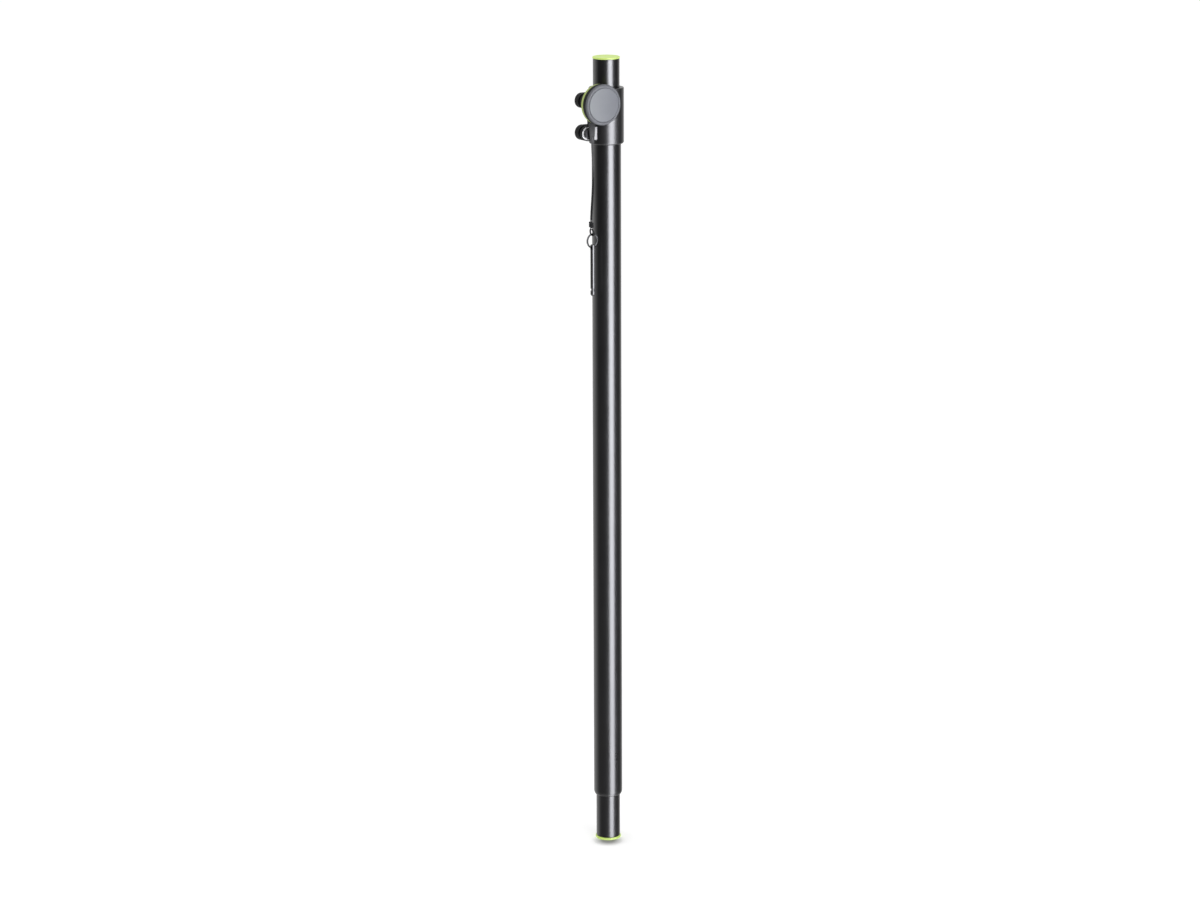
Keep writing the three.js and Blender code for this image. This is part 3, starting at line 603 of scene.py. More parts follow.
ready = put(punch_tree, "GeometryNodeRealizeInstances", {0: cutters.outputs[0]})
punched = put(punch_tree, "GeometryNodeMeshBoolean",
              {"Mesh 1": given["Tube"], "Mesh 2": ready.outputs[0]}, operation="DIFFERENCE",
              solver="EXACT")
end_tree(punch_tree, result, punched.outputs[0], given["Finish"])

inner_radius, inner_bore, inner_bottom, inner_top = 17.5, 16.0, 119.7, 1074.4
top_hole_height, hole_pitch, hole_count = 942, 100, 6
hole_radius, hole_mouth, mouth_start, cutter_reach = 3.7, 5.6, 17.1, 20
hole_margin = 7                      # above and below a hole, the wall gets a ring of points
wall = [top_hole_height - hole_pitch * hole + shift
        for hole in reversed(range(hole_count)) for shift in (-hole_margin, hole_margin)]
tube_blank = turned("inner_tube_skin", [
    (inner_bore, inner_bottom, 0.3), (inner_radius, inner_bottom, 0.4),
    *[(inner_radius, z) for z in wall], (inner_radius, inner_top, 0.3),
    (inner_bore, inner_top, 0.3), *[(inner_bore, z) for z in reversed(wall)]])
hole_cutter = turned(
    "hole_cutter", [(0, -cutter_reach), (hole_mouth, -cutter_reach), (hole_radius, -mouth_start),
                    (hole_radius, mouth_start), (hole_mouth, cutter_reach), (0, cutter_reach)],
    lambda radius, turn, reach: Vector((radius * cos(turn), reach, radius * sin(turn))) * mm,
    sides=48)
grow(tube_blank, punch_tree, {
    "Cutter": hole_cutter, "Top Hole Height": top_hole_height * mm, "Pitch": hole_pitch * mm,
    "Count": hole_count, "Finish": finish("satin_coat")})
inner_tube = settled(tube_blank)
bpy.data.objects.remove(hole_cutter)
inner_tube = smoothed(inner_tube)
print("inner tube faces with its holes:", len(inner_tube.data.polygons))

# %% [markdown]
# ## Clamp collar
#
# The collar is one moulding of black glass-filled plastic: a sleeve over the joint of the tubes, a
# rib down its side and a pair of ears for each bolt, all split by one slot so that the bolts can
# squeeze it. It is put together as the toolmaker would: simple rounded blocks are joined to the
# sleeve, and then the slot, the bolt holes and the nut pockets are cut.

# %% Blocks for the collar
bolt_offset = 32.4                   # of both clamp bolts from the pole's axis
bolt_height = {"lower": 979, "upper": 1021}


def on_bolt(which):
    """Points round a bolt's axis, with their reach measured out towards the knob."""
    return lambda radius, turn, reach: Vector(
        (radius * cos(turn) - bolt_offset, -reach, radius * sin(turn) + bolt_height[which])) * mm


def arc(radius, first, past, step):
    """Points on a circle about the origin, every so many degrees from first to before past."""
    return [(radius * cos(radians(a)), radius * sin(radians(a)))
            for a in range(first, past, step)]


def hexagon_outline(flats):
    """The corners of a hexagon of that width across its flats."""
    return arc(flats / 3 ** 0.5, 30, 390, 60)


collar_radius, collar_bottom, collar_top = 23.1, 963, 1037
sleeve_bore, lip_bore, lip_bottom, mouth_bevel = 19.6, 17.8, 1033, 0.5
rib_bottom, rib_top, rib_half, rib_reach = 969, 1031, 5, 27
slot_half, slot_start, slot_end = 2.1, 15, 50
near_ear, far_ear, root_reach, root_start = 6, -10.6, 10, 7.2
bolt_bore, pocket_flats, pocket_floor = 4.3, 13.6, -4.3


def block(name, outline, low, high, edge, place, segments=3):
    """A plate between two reaches with rounded end edges. place gives a point of it."""
    form = bmesh.new()
    ends = []
    for reach in (low, high):
        ends.append([form.verts.new((x, y, reach)) for x, y in outline])
    caps = [form.faces.new(reversed(ends[0])), form.faces.new(ends[1])]
    for i in range(len(outline)):
        form.faces.new((ends[0][i - 1], ends[0][i], ends[1][i], ends[1][i - 1]))
    if edge:
        rim = {line for cap in caps for line in cap.edges}
        bmesh.ops.bevel(form, geom=list(rim), offset=edge, offset_type="OFFSET",
                        segments=segments, profile=0.5, affect="EDGES", clamp_overlap=True)
    for vert in form.verts:
        vert.co = place(*vert.co)
    return as_piece(name, form)


def at_bolt(which):
    """Places a block whose outline is drawn about a bolt, seen from the knob's side."""
    return lambda x, y, reach: Vector((x - bolt_offset, -reach, y + bolt_height[which])) * mm


def about_pole(x, y, height):
    return Vector((x, y, height)) * mm


ear_radius, ear_root = 10, 12.3
ear_outline = [(ear_root, -ear_radius), (ear_root, ear_radius), *arc(ear_radius, 90, 271, 5)]
rib_outline = eased([(-rib_reach, -rib_half, 1.2), (-20.1, -rib_half), (-20.1, rib_half),
                     (-rib_reach, rib_half, 1.2)])
root_outline = eased([(root_start, -ear_radius, 1.2), (14.1, -ear_radius), (14.1, ear_radius),
                      (root_start, ear_radius, 1.2)])
print("outline points of ear, rib and root:", len(ear_outline), len(rib_outline), len(root_outline))

# %% Mould the collar
collar = turned("collar_moulding", [
    (sleeve_bore, collar_bottom, 0.3), (collar_radius, collar_bottom, 2.6),
    (collar_radius, tube_top), (collar_radius, collar_top, 1.2),
    (lip_bore + mouth_bevel, collar_top, 0.3), (lip_bore, collar_top - mouth_bevel, 0.2),
    (lip_bore, lip_bottom), (sleeve_bore, lip_bottom)])
added = [block("rib", rib_outline, rib_bottom, rib_top, 1, about_pole),
         block("root", root_outline, 0, root_reach, 1.4, at_bolt("lower"))]
cuts = [block("slot", [(-slot_end, -slot_half), (-slot_start, -slot_half),
                       (-slot_start, slot_half), (-slot_end, slot_half)],
              collar_bottom - 8, collar_top + 8, 0, about_pole)]
hex_pocket = hexagon_outline(pocket_flats)
for which in ("lower", "upper"):
    added.append(block(which + "_far_ear", ear_outline, far_ear, 0.5, 0.6, at_bolt(which)))
    added.append(block(which + "_near_ear", ear_outline, -0.5, near_ear, 0.6, at_bolt(which)))
    cuts.append(turned(which + "_hole", [(0, -14), (bolt_bore, -14), (bolt_bore, 10), (0, 10)],
                       on_bolt(which), sides=64))
    cuts.append(block(which + "_pocket", hex_pocket, -14, pocket_floor, 0, at_bolt(which)))
collar = carved(collar, added, cuts)
print("collar faces:", len(collar.data.polygons))

# %% [markdown]
# The lower pair of ears has flat faces towards the knob, where the bolt seats. The strip light's
# reflection in them is a painted highlight: a light grey ring beside the dark bolt head and a light
# grey band on the step beside it. Those flat faces get their own material, picked by where they
# are. The ears and the rib have the coarse dull grain of the tool's outer halves, while the sleeve
# is smoother.

# %% Faces of the collar
for name in ("moulded_black", "grained_black", "faced_seat"):
    collar.data.materials.append(finish(name))
face_counts = [0, 0, 0]
for face in collar.data.polygons:
    middle = face.center / mm
    # The flat faces of the lower ears towards the knob get the material with the painted highlight.
    on_lower_ears = face.normal.y < -0.999 and middle.z < 990 and middle.x < -17
    highlighted = on_lower_ears and min(abs(middle.y + near_ear), abs(middle.y + root_reach)) < 0.05
    face.material_index = 2 if highlighted else int(middle.xy.length > collar_radius + 0.2)
    face_counts[face.material_index] += 1
collar = smoothed(collar)
print("sleeve, ear and bare faces:", face_counts)

# %% [markdown]
# ## Hand knob
#
# The knob is a black moulding with a thin lime ring behind it and a grey rubber pad in front. The
# pad wraps the front edge with a wide round and is very slightly crowned inside its groove, so
# that the light fades across it. On top of that, the pad's colour is painted lighter on its left
# and its rim's darker on its left, as painted light and shade, and the ring is a deeper lime as
# painted shade. Each of the three plastics is its own turned piece, because each has its own
# finish. The crown follows a square law, so it is computed.

# %% Turn the knob
knob_place = on_bolt("upper")
knob_radius, knob_back, knob_front = 26.6, 30.3, 41.2
hub_radius, hub_start, hub_flare = 10, 16.6, 27.3
band_radius, band_bore, band_front = 26, 21.3, 35.1
gap = 0.3                            # between the band or the pad and the body
recess_radius, recess_floor = 19, 39.7
pad_face, crown_radius, crown_height, groove_depth = 44.9, 21.8, 0.3, 0.9
knob_body = turned("knob_moulding", [
    (bolt_bore, hub_start), (hub_radius, hub_start, 0.5), (hub_radius, hub_flare, 2.6),
    (13, knob_back), (band_bore - gap, knob_back), (band_bore - gap, band_front + gap),
    (knob_radius, band_front + gap, 0.4), (knob_radius, knob_front, 0.5),
    (recess_radius, knob_front), (recess_radius, recess_floor), (bolt_bore, recess_floor)],
    knob_place, sides=192, steps=6)
stud_pocket = block("stud_pocket", hex_pocket, 34, 45, 0, at_bolt("upper"))
knob_body = smoothed(carved(knob_body, cuts=[stud_pocket]))
knob_ring = smoothed(turned("knob_band", [
    (band_bore, knob_back), (band_radius, knob_back, 0.6), (band_radius, band_front, 0.6),
    (band_bore, band_front)], knob_place, sides=192))
crown = [(r, pad_face + crown_height * (1 - (r / crown_radius) ** 2)) for r in range(0, 21, 2)]
knob_pad = smoothed(turned("knob_face_pad", [
    *crown, (21.7, pad_face, 0.3), (22, pad_face - groove_depth, 0.2),
    (22.8, pad_face - groove_depth, 0.2), (23.1, pad_face, 0.3), (knob_radius, pad_face, 3.1),
    (knob_radius, knob_front + gap, 0.25), (recess_radius - gap, knob_front + gap),
    (recess_radius - gap, recess_floor + gap), (0, recess_floor + gap)],
    knob_place, sides=192, steps=8))
# The pad's face and its round rim get two finishes; the rim's is a darker copy in painted shade.
knob_pad.data.materials.append(finish("pad_rubber"))
knob_pad.data.materials.append(finish("pad_rim"))
bolt_axis = Vector((-bolt_offset, bolt_height["upper"])) * mm
for face in knob_pad.data.polygons:
    face.material_index = int((face.center.xz - bolt_axis).length > crown_radius * mm)
spacer = smoothed(turned("spacer_bush", [
    (bolt_bore, 8.2), (8, 8.2, 0.4), (8, 13, 0.3), (6, 13), (6, 16.3, 0.2), (bolt_bore, 16.3)],
    knob_place, sides=96))
washer = smoothed(turned("thrust_washer_disc", [
    (bolt_bore, 6.3, 0.1), (9, 6.3, 0.3), (9, 7.9, 0.3), (bolt_bore, 7.9, 0.1)],
    knob_place, sides=96))
print("knob width in mm:", round(knob_body.dimensions.x / mm, 1))

# %% [markdown]
# ## Bolts and nuts
#
# Two M8 bolts squeeze the collar: a hexagon head bolt below and the knob's stud above, each with a
# nut held in a pocket of the far ear. A hexagon head is a hexagonal bar whose corners are turned
# down, so it is made that way: the bar and a turned blank are crossed. The thread is a ridge that
# runs round the shank on a screw line, which is a job for Geometry Nodes.

# %% Thread tree
thread_tree, given, result = node_group("screw_thread", "GeometryNodeTree", [
    ("Shank", "NodeSocketGeometry", None),
    ("Root Radius", "NodeSocketFloat", 3.35 * mm),
    ("Pitch", "NodeSocketFloat", 1.25 * mm),
    ("Ridge", "NodeSocketFloat", 0.62 * mm),
    ("Length", "NodeSocketFloat", 16 * mm),
    ("Finish", "NodeSocketMaterial", None),
], [("Geometry", "NodeSocketGeometry")])
screw_line = put(thread_tree, "GeometryNodeCurveSpiral", {
    "Resolution": 32, "Rotations": maths(thread_tree, "DIVIDE", given["Length"], given["Pitch"]),
    "Start Radius": given["Root Radius"], "End Radius": given["Root Radius"],
    "Height": given["Length"]})
upright = put(thread_tree, "GeometryNodeSetCurveNormal", {"Curve": screw_line.outputs[0]},
              mode="Z_UP")
ridge_section = put(thread_tree, "GeometryNodeCurvePrimitiveCircle",
                    {"Resolution": 4, "Radius": given["Ridge"]})
ridge = put(thread_tree, "GeometryNodeCurveToMesh", {
    "Curve": upright.outputs[0], "Profile Curve": ridge_section.outputs[0], "Fill Caps": True})
end_tree(thread_tree, result, together(thread_tree, ridge.outputs[0], given["Shank"]),
         given["Finish"])


# %% Make the bolts and nuts
def gathered(name, pieces):
    """Several pieces of one real part as one object."""
    form = bmesh.new()
    for piece in pieces:
        form.from_mesh(piece.data)
        bpy.data.objects.remove(piece)
    mesh = bpy.data.meshes.new(name)
    form.to_mesh(mesh)
    form.free()
    return new_object(name, mesh)


hex_flats, shank_radius, shank_tip = 13, 3.5, -10.3
nut_low, nut_high, nut_bore, nut_mouth, nut_countersink = -10.3, -4.6, 4.1, 4.9, 0.6


def hexagon(name, low, high, which, low_chamfer, high_chamfer):
    """A hexagonal bar between two reaches, its corners turned down."""
    across = hex_flats / 3 ** 0.5
    bar = block(name, hexagon_outline(hex_flats), low - 1, high + 1, 0, at_bolt(which))
    blank = turned("blank", [
        (0, low), (across - 2 * low_chamfer, low), (across + 0.4, low + low_chamfer + 0.2),
        (across + 0.4, high - high_chamfer - 0.2), (across - 2 * high_chamfer, high), (0, high)],
        on_bolt(which), sides=96)
    step = bar.modifiers.new("cross", "BOOLEAN")
    step.operation, step.object, step.solver = "INTERSECT", blank, "EXACT"
    made = settled(bar)
    bpy.data.objects.remove(blank)
    return made


def threaded(name, which, tip, head_end):
    """A threaded shank along a bolt from its tip to under its head."""
    shank = turned(name, [(0, tip), (shank_radius, tip, 0.4), (shank_radius, head_end),
                          (0, head_end)],
                   lambda radius, turn, reach: Vector(
                       (radius * cos(turn), radius * sin(turn), reach - tip)) * mm, sides=48)
    grow(shank, thread_tree, {"Length": (head_end - tip - 1.6) * mm,
                              "Finish": finish("plated_steel")})
    shank = settled(shank)
    shank.data.transform(Matrix.Translation(Vector((-bolt_offset, -tip, bolt_height[which])) * mm)
                         @ Matrix.Rotation(pi / 2, 4, "X"))
    return shank


def nut(name, which):
    body = hexagon(name, nut_low, nut_high, which, 0.5, 0.5)
    hole = turned("nut_hole", [
        (0, nut_low - 1.7), (nut_mouth, nut_low - 1.7), (nut_mouth, nut_low),
        (nut_bore, nut_low + nut_countersink), (nut_bore, nut_high - nut_countersink),
        (nut_mouth, nut_high), (nut_mouth, nut_high + 1.6), (0, nut_high + 1.6)],
        on_bolt(which), sides=64)
    return smoothed(carved(body, cuts=[hole]), 25)


lower_bolt = smoothed(gathered("lower_bolt_steel", [
    hexagon("head", 6.3, 11.3, "lower", 0, 0.5), threaded("shank", "lower", shank_tip, 7)]), 25)
clamp_stud = smoothed(gathered("clamp_stud_steel", [
    hexagon("head", 34.3, recess_floor, "upper", 0, 0.5),
    threaded("shank", "upper", shank_tip, 35)]), 25)
lower_nut, upper_nut = nut("lower_nut_steel", "lower"), nut("upper_nut_steel", "upper")
print("bolt faces:", len(lower_bolt.data.polygons), len(clamp_stud.data.polygons))

# %% [markdown]
# ## Lanyard hanger
#
# The hanger is a flat strap of dark grey rubber. Its eye sits round the spacer behind the knob,
# and it narrows down to a short socket that grips the cord. It leans a little towards the pole. A
# flat outline with a hole is quickest as a filled two-dimensional curve, which also rounds both
# its rims. It becomes a mesh before it is put in its place.

# %% Cut the hanger
eye_radius, head_radius, hanger_length = 6.3, 9.3, 53.3
waist_drop, waist_half, tail_half = 31, 4.5, 2.6
hanger_middle, hanger_thickness, hanger_round, hanger_lean = 14.5, 2.4, 0.45, radians(1.2)
socket_radius, socket_length = 2.4, 9


def bend(start, control, end, steps=14):
    """Points after the start along a bend that leans on one control point."""
    return [tuple((1 - t) ** 2 * a + 2 * t * (1 - t) * b + t * t * c
                  for a, b, c in zip(start, control, end))
            for t in (step / steps for step in range(1, steps + 1))]


strap = arc(head_radius, 0, 181, 6)
strap += bend((-head_radius, 0), (-head_radius, -waist_drop / 2), (-waist_half, -waist_drop))
strap += [(-tail_half, -hanger_length), (tail_half, -hanger_length), (waist_half, -waist_drop)]
strap += bend((waist_half, -waist_drop), (head_radius, -waist_drop / 2), (head_radius, 0))[:-1]
eye = arc(eye_radius, 0, 360, 6)
flat = bpy.data.curves.new("hanger_strap", "CURVE")
flat.dimensions, flat.fill_mode = "2D", "BOTH"
flat.extrude = (hanger_thickness / 2 - hanger_round) * mm
flat.bevel_depth, flat.bevel_resolution, flat.offset = hanger_round * mm, 2, -hanger_round * mm
for outline in (strap, eye):
    spline = flat.splines.new("POLY")
    spline.points.add(len(outline) - 1)
    for point, place in zip(spline.points, outline):
        point.co = (place[0] * mm, place[1] * mm, 0, 1)
    spline.use_cyclic_u = True
hanger = settled(new_object("hanger_strap", flat))
hanger.data.transform(Matrix.Rotation(pi / 2, 4, "X"))
form = bmesh.new()
form.from_mesh(hanger.data)
bpy.data.objects.remove(hanger)
hanger = as_piece("hanger_strap", form)
socket = turned(
    "cord_socket", [(0, -hanger_length), (socket_radius, -hanger_length, 0.4),
                    (socket_radius, socket_length - hanger_length, 0.9),
                    (0, socket_length - hanger_length)], sides=48)
hanger = smoothed(carved(hanger, [socket]))
hanger.data.transform(
    Matrix.Translation(Vector((-bolt_offset, -hanger_middle, bolt_height["upper"])) * mm)
    @ Matrix.Rotation(-hanger_lean, 4, "Y"))
print("hanger size in mm:", [round(side / mm, 1) for side in hanger.dimensions])

# %% [markdown]
# ## Surface effects
#
# Each effect that several finishes share is a group with its own inputs. It puts out only heights
# and masks, and the material decides what they do. They read the piece's own coordinates in
# metres, so a scale of a thousand gives features of about a millimetre.

# %% Shared effects
def effect(name, inputs, outputs):
    sockets = [(label, "NodeSocketFloat", value) for label, value in inputs.items()]
    return node_group(name, "ShaderNodeTree", sockets,
                      [(label, "NodeSocketFloat") for label in outputs])


def ranged(tree, value, start, end, low=0.0, high=1.0, **options):
    """A value that goes from low to high while another goes from start to end."""
    return put(tree, "ShaderNodeMapRange", {"Value": value, "From Min": start, "From Max": end,
                                            "To Min": low, "To Max": high}, **options).outputs[0]


def noise(tree, place, scale, detail, roughness=0.5):
    return put(tree, "ShaderNodeTexNoise", {"Vector": place, "Scale": scale, "Detail": detail,
                                            "Roughness": roughness}).outputs[0]


def own_place(tree, stretch=(1, 1, 1)):
    """The piece's own coordinates, squeezed where a pattern is drawn out along an axis."""
    place = put(tree, "ShaderNodeTexCoord").outputs["Object"]
    return put(tree, "ShaderNodeMapping", {"Vector": place, "Scale": stretch}).outputs[0]


grain, given, result = effect("surface_grain", {"Scale": 1500.0, "Coarseness": 0.5},
                              ["Height", "Tone"])
place = own_place(grain)
fine = noise(grain, place, given["Scale"], 3.0, given["Coarseness"])
broad = noise(grain, place, 55.0, 2.0)
grain.links.new(fine, result.inputs["Height"])
grain.links.new(broad, result.inputs["Tone"])

marks, given, result = effect("handling_marks", {"Density": 0.5, "Drawn Out": 1.0},
                              ["Smudge", "Scratches"])
smudge = noise(marks, own_place(marks, (1, 1, 0.35)), 30.0, 5.0, 0.62)
lines = noise(marks, own_place(marks, (1, 1, 0.02)), 900.0, 1.0)
threshold = maths(marks, "SUBTRACT", 0.86, times(marks, given["Density"], 0.18))
scratches = times(marks, ranged(marks, lines, threshold, 0.88), given["Drawn Out"])
marks.links.new(smudge, result.inputs["Smudge"])
marks.links.new(scratches, result.inputs["Scratches"])

lathe, given, result = effect("turning_lines", {"Pitch": 0.25, "Wander": 0.3}, ["Height", "Tone"])
bands = noise(lathe, own_place(lathe, (0.02, 0.02, 1)),
              maths(lathe, "DIVIDE", 1000.0, given["Pitch"]), 2.0, given["Wander"])
blotch = noise(lathe, own_place(lathe), 120.0, 3.0)
lathe.links.new(bands, result.inputs["Height"])
lathe.links.new(blotch, result.inputs["Tone"])
print("shared effects:", [tree.name for tree in (grain, marks, lathe)])

# %% [markdown]
# ## Finishes
#
# Every finish is a Principled surface in its own material, and most begin with the shared grain.
# A helper mixes a colour by a mask, and another turns a height into a bump. What is the same all
# over, such as the strength of a reflection, is set straight on the shader.

# %% Finish helpers
def use(tree, group, values):
    node = put(tree, "ShaderNodeGroup", node_tree=group)
    for socket, value in values.items():
        node.inputs[socket].default_value = value
    return node.outputs


def blended(tree, mask, low, high):
    """A number between low and high by a mask, which is mostly between 0.3 and 0.7."""
    return ranged(tree, mask, 0.3, 0.7, low, high)


def tinted(tree, mask, first, second):
    """A colour between two by a mask. Each is a number triple or comes from another node."""
    mix = put(tree, "ShaderNodeMix", data_type="RGBA")
    tree.links.new(mask, mix.inputs["Factor"])
    for socket, colour in ((mix.inputs[6], first), (mix.inputs[7], second)):
        if isinstance(colour, tuple):
            socket.default_value = (*colour, 1)
        else:
            tree.links.new(colour, socket)
    return mix.outputs[2]


def axes(tree, vector):
    """The outputs X, Y and Z of a vector."""
    return put(tree, "ShaderNodeSeparateXYZ", {0: vector}).outputs


def along(tree, axis, start, end):
    """A mask that runs from 0 to 1 between two places on an axis, in millimetres."""
    return ranged(tree, axes(tree, own_place(tree))[axis], start * mm, end * mm)


def raised(tree, height, depth):
    """A bump of that depth in millimetres."""
    return put(tree, "ShaderNodeBump", {"Height": height, "Distance": depth * mm,
                                        "Strength": 1.0}).outputs[0]


def begun(name, scale, coarseness):
    """The tree of a finish, with the shared grain in it."""
    tree = finish(name).node_tree
    return tree, use(tree, grain, {"Scale": scale, "Coarseness": coarseness})


def surfaced(name, values):
    """Ends a material in a Principled surface with those values."""
    tree = finish(name).node_tree
    shader = put(tree, "ShaderNodeBsdfPrincipled", values)
    put(tree, "ShaderNodeOutputMaterial", {"Surface": shader.outputs[0]})
    print("finish:", name, "of", len(tree.nodes), "nodes")


# %% [markdown]
# **Satin coat.** The tubes are powder coated: a satin black with a faint orange peel, which shows
# only in its highlights. Sliding the tubes leaves hair-fine lengthways marks, a little duller
# than the rest.

# %% Satin coat
tree, peel = begun("satin_coat", 1100.0, 0.35)
worn = use(tree, marks, {"Density": 0.35, "Drawn Out": 1.0})
surfaced("satin_coat", {
    "Base Color": tinted(tree, peel["Tone"], (0.0035, 0.0035, 0.004), (0.006, 0.006, 0.0068)),
    "Roughness": maths(tree, "ADD", blended(tree, worn["Smudge"], 0.27, 0.32),
                       times(tree, worn["Scratches"], 0.06)),
    "Specular IOR Level": 0.9, "Normal": raised(tree, peel["Height"], 0.01)})

# %% [markdown]
# **Mouldings.** The black collar and knob have the fine spark-eroded grain of their mould, and
# the collar's ears a coarser and duller one. The lime caps are smoother and slightly uneven in
# tone, as coloured plastic is near its gate.

# %% Mouldings
tree, skin = begun("moulded_black", 2600.0, 0.6)
worn = use(tree, marks, {"Density": 0.2, "Drawn Out": 0.4})
surfaced("moulded_black", {
    "Base Color": tinted(tree, skin["Tone"], (0.004, 0.004, 0.0045), (0.007, 0.007, 0.0078)),
    "Roughness": blended(tree, worn["Smudge"], 0.31, 0.38),
    "Specular IOR Level": 0.9, "Normal": raised(tree, skin["Height"], 0.018)})

tree, skin = begun("grained_black", 1500.0, 0.7)
worn = use(tree, marks, {"Density": 0.2, "Drawn Out": 0.4})
surfaced("grained_black", {
    "Base Color": tinted(tree, skin["Tone"], (0.004, 0.004, 0.0044), (0.008, 0.008, 0.0086)),
    "Roughness": blended(tree, worn["Smudge"], 0.55, 0.65),
    "Specular IOR Level": 0.2, "Normal": raised(tree, skin["Height"], 0.05)})

tree, skin = begun("lime_plastic", 1900.0, 0.4)
surfaced("lime_plastic", {
    "Base Color": tinted(tree, skin["Tone"], (0.65, 0.87, 0.19), (0.70, 0.91, 0.23)),
    "Roughness": blended(tree, skin["Tone"], 0.4, 0.48),
    "Normal": raised(tree, skin["Height"], 0.008)})

# Painted shade: the ring behind the knob is a darker copy of the lime plastic, standing for the
# knob's shade on it.
tree, skin = begun("lime_band", 1900.0, 0.4)
surfaced("lime_band", {
    "Base Color": tinted(tree, skin["Tone"], (0.34, 0.43, 0.12), (0.42, 0.51, 0.15)),
    "Roughness": blended(tree, skin["Tone"], 0.45, 0.52),
    "Specular IOR Level": 0.3, "Normal": raised(tree, skin["Height"], 0.008)})

# %% [markdown]
# ** Rubber and nylon.** The knob's pad is mid grey soft-touch rubber, a little blue, with a fine dry
# texture. Its colour is painted lighter on its left and darker on its right, as painted light and
# shade, and its rim is a darker copy in painted shade, darkest on its left. The hanger is darker
# and denser, and painted near black at its upper end near the knob as shade. The liners inside
# the tubes are natural nylon.

# %% Rubber and nylon
# Painted light and shade: the pad's colour runs from lighter on its left to darker on its right.
tree, skin = begun("pad_rubber", 2200.0, 0.7)
surfaced("pad_rubber", {
    "Base Color": tinted(tree, along(tree, "X", -53, -12),
                         tinted(tree, skin["Tone"], (0.24, 0.255, 0.275), (0.275, 0.29, 0.312)),
                         tinted(tree, skin["Tone"], (0.145, 0.152, 0.18), (0.175, 0.183, 0.21))),
    "Roughness": 0.72, "Specular IOR Level": 0.4, "Normal": raised(tree, skin["Height"], 0.04)})

# Painted shade: the rim is a darker copy of the pad's rubber, darkest on its left.
tree, skin = begun("pad_rim", 2200.0, 0.7)
surfaced("pad_rim", {
    "Base Color": tinted(tree, along(tree, "X", -50, -12),
                         tinted(tree, skin["Tone"], (0.085, 0.088, 0.1), (0.12, 0.124, 0.14)),
                         tinted(tree, skin["Tone"], (0.15, 0.157, 0.18), (0.18, 0.188, 0.21))),
    "Roughness": 0.6, "Specular IOR Level": 0.4, "Normal": raised(tree, skin["Height"], 0.03)})

# Painted shade: near black at the hanger's upper end near the knob, dark grey from 972 mm down.
tree, skin = begun("strap_rubber", 1700.0, 0.6)
surfaced("strap_rubber", {
    "Base Color": tinted(tree, along(tree, "Z", 1003, 972),
                         tinted(tree, skin["Tone"], (0.008, 0.008, 0.009), (0.014, 0.014, 0.015)),
                         tinted(tree, skin["Tone"], (0.08, 0.08, 0.083), (0.1, 0.1, 0.104))),
    "Roughness": 0.72, "Specular IOR Level": 0.15, "Normal": raised(tree, skin["Height"], 0.02)})

tree, skin = begun("natural_nylon", 900.0, 0.5)
surfaced("natural_nylon", {
    "Base Color": tinted(tree, skin["Tone"], (0.55, 0.53, 0.45), (0.62, 0.6, 0.52)),
    "Roughness": 0.55, "Subsurface Weight": 0.1, "Normal": raised(tree, skin["Height"], 0.02)})

# %% [markdown]
# ** Metals.** The washer and nuts are zinc plated, with the soft grain of plating, and the bolts
# are blackened. The flat faces of the lower ears carry a painted highlight, the strip light's
# reflection: light grey only in a ring round the bolt and on the step beside it, so a mask keeps
# the rest black. The pin keeps the fine rings of its turning, and the ring is polished wire.

# %% Metals
tree, skin = begun("plated_steel", 1300.0, 0.7)
surfaced("plated_steel", {
    "Base Color": tinted(tree, skin["Tone"], (0.42, 0.42, 0.44), (0.52, 0.52, 0.53)),
    "Metallic": 1.0, "Roughness": blended(tree, skin["Height"], 0.28, 0.4),
    "Normal": raised(tree, skin["Height"], 0.006)})

tree, skin = begun("blackened_steel", 1300.0, 0.7)
surfaced("blackened_steel", {
    "Base Color": tinted(tree, skin["Tone"], (0.05, 0.05, 0.054), (0.085, 0.085, 0.09)),
    "Metallic": 1.0, "Roughness": blended(tree, skin["Height"], 0.36, 0.46),
    "Normal": raised(tree, skin["Height"], 0.006)})

# Masks for the painted highlight: a disc round the lower bolt, seen as a ring beside its head, and
# the step beside it.
seat, given, result = effect("faced_seat_masks", {
    "Bolt Height": bolt_height["lower"] * mm, "Seat Radius": 8.8 * mm, "Step Start": 7.0 * mm,
    "Step Half Height": 8.3 * mm}, ["Ring", "Step"])
spot = axes(seat, own_place(seat))
across = maths(seat, "ADD", spot["X"], bolt_offset * mm)
upward = maths(seat, "SUBTRACT", spot["Z"], given["Bolt Height"])
distance = maths(seat, "SQRT", maths(seat, "ADD", times(seat, across, across),
                                     times(seat, upward, upward)))
beside = maths(seat, "GREATER_THAN", across, given["Step Start"])
level = maths(seat, "LESS_THAN", maths(seat, "ABSOLUTE", upward), given["Step Half Height"])
seat.links.new(maths(seat, "LESS_THAN", distance, given["Seat Radius"]), result.inputs["Ring"])
seat.links.new(times(seat, beside, level), result.inputs["Step"])

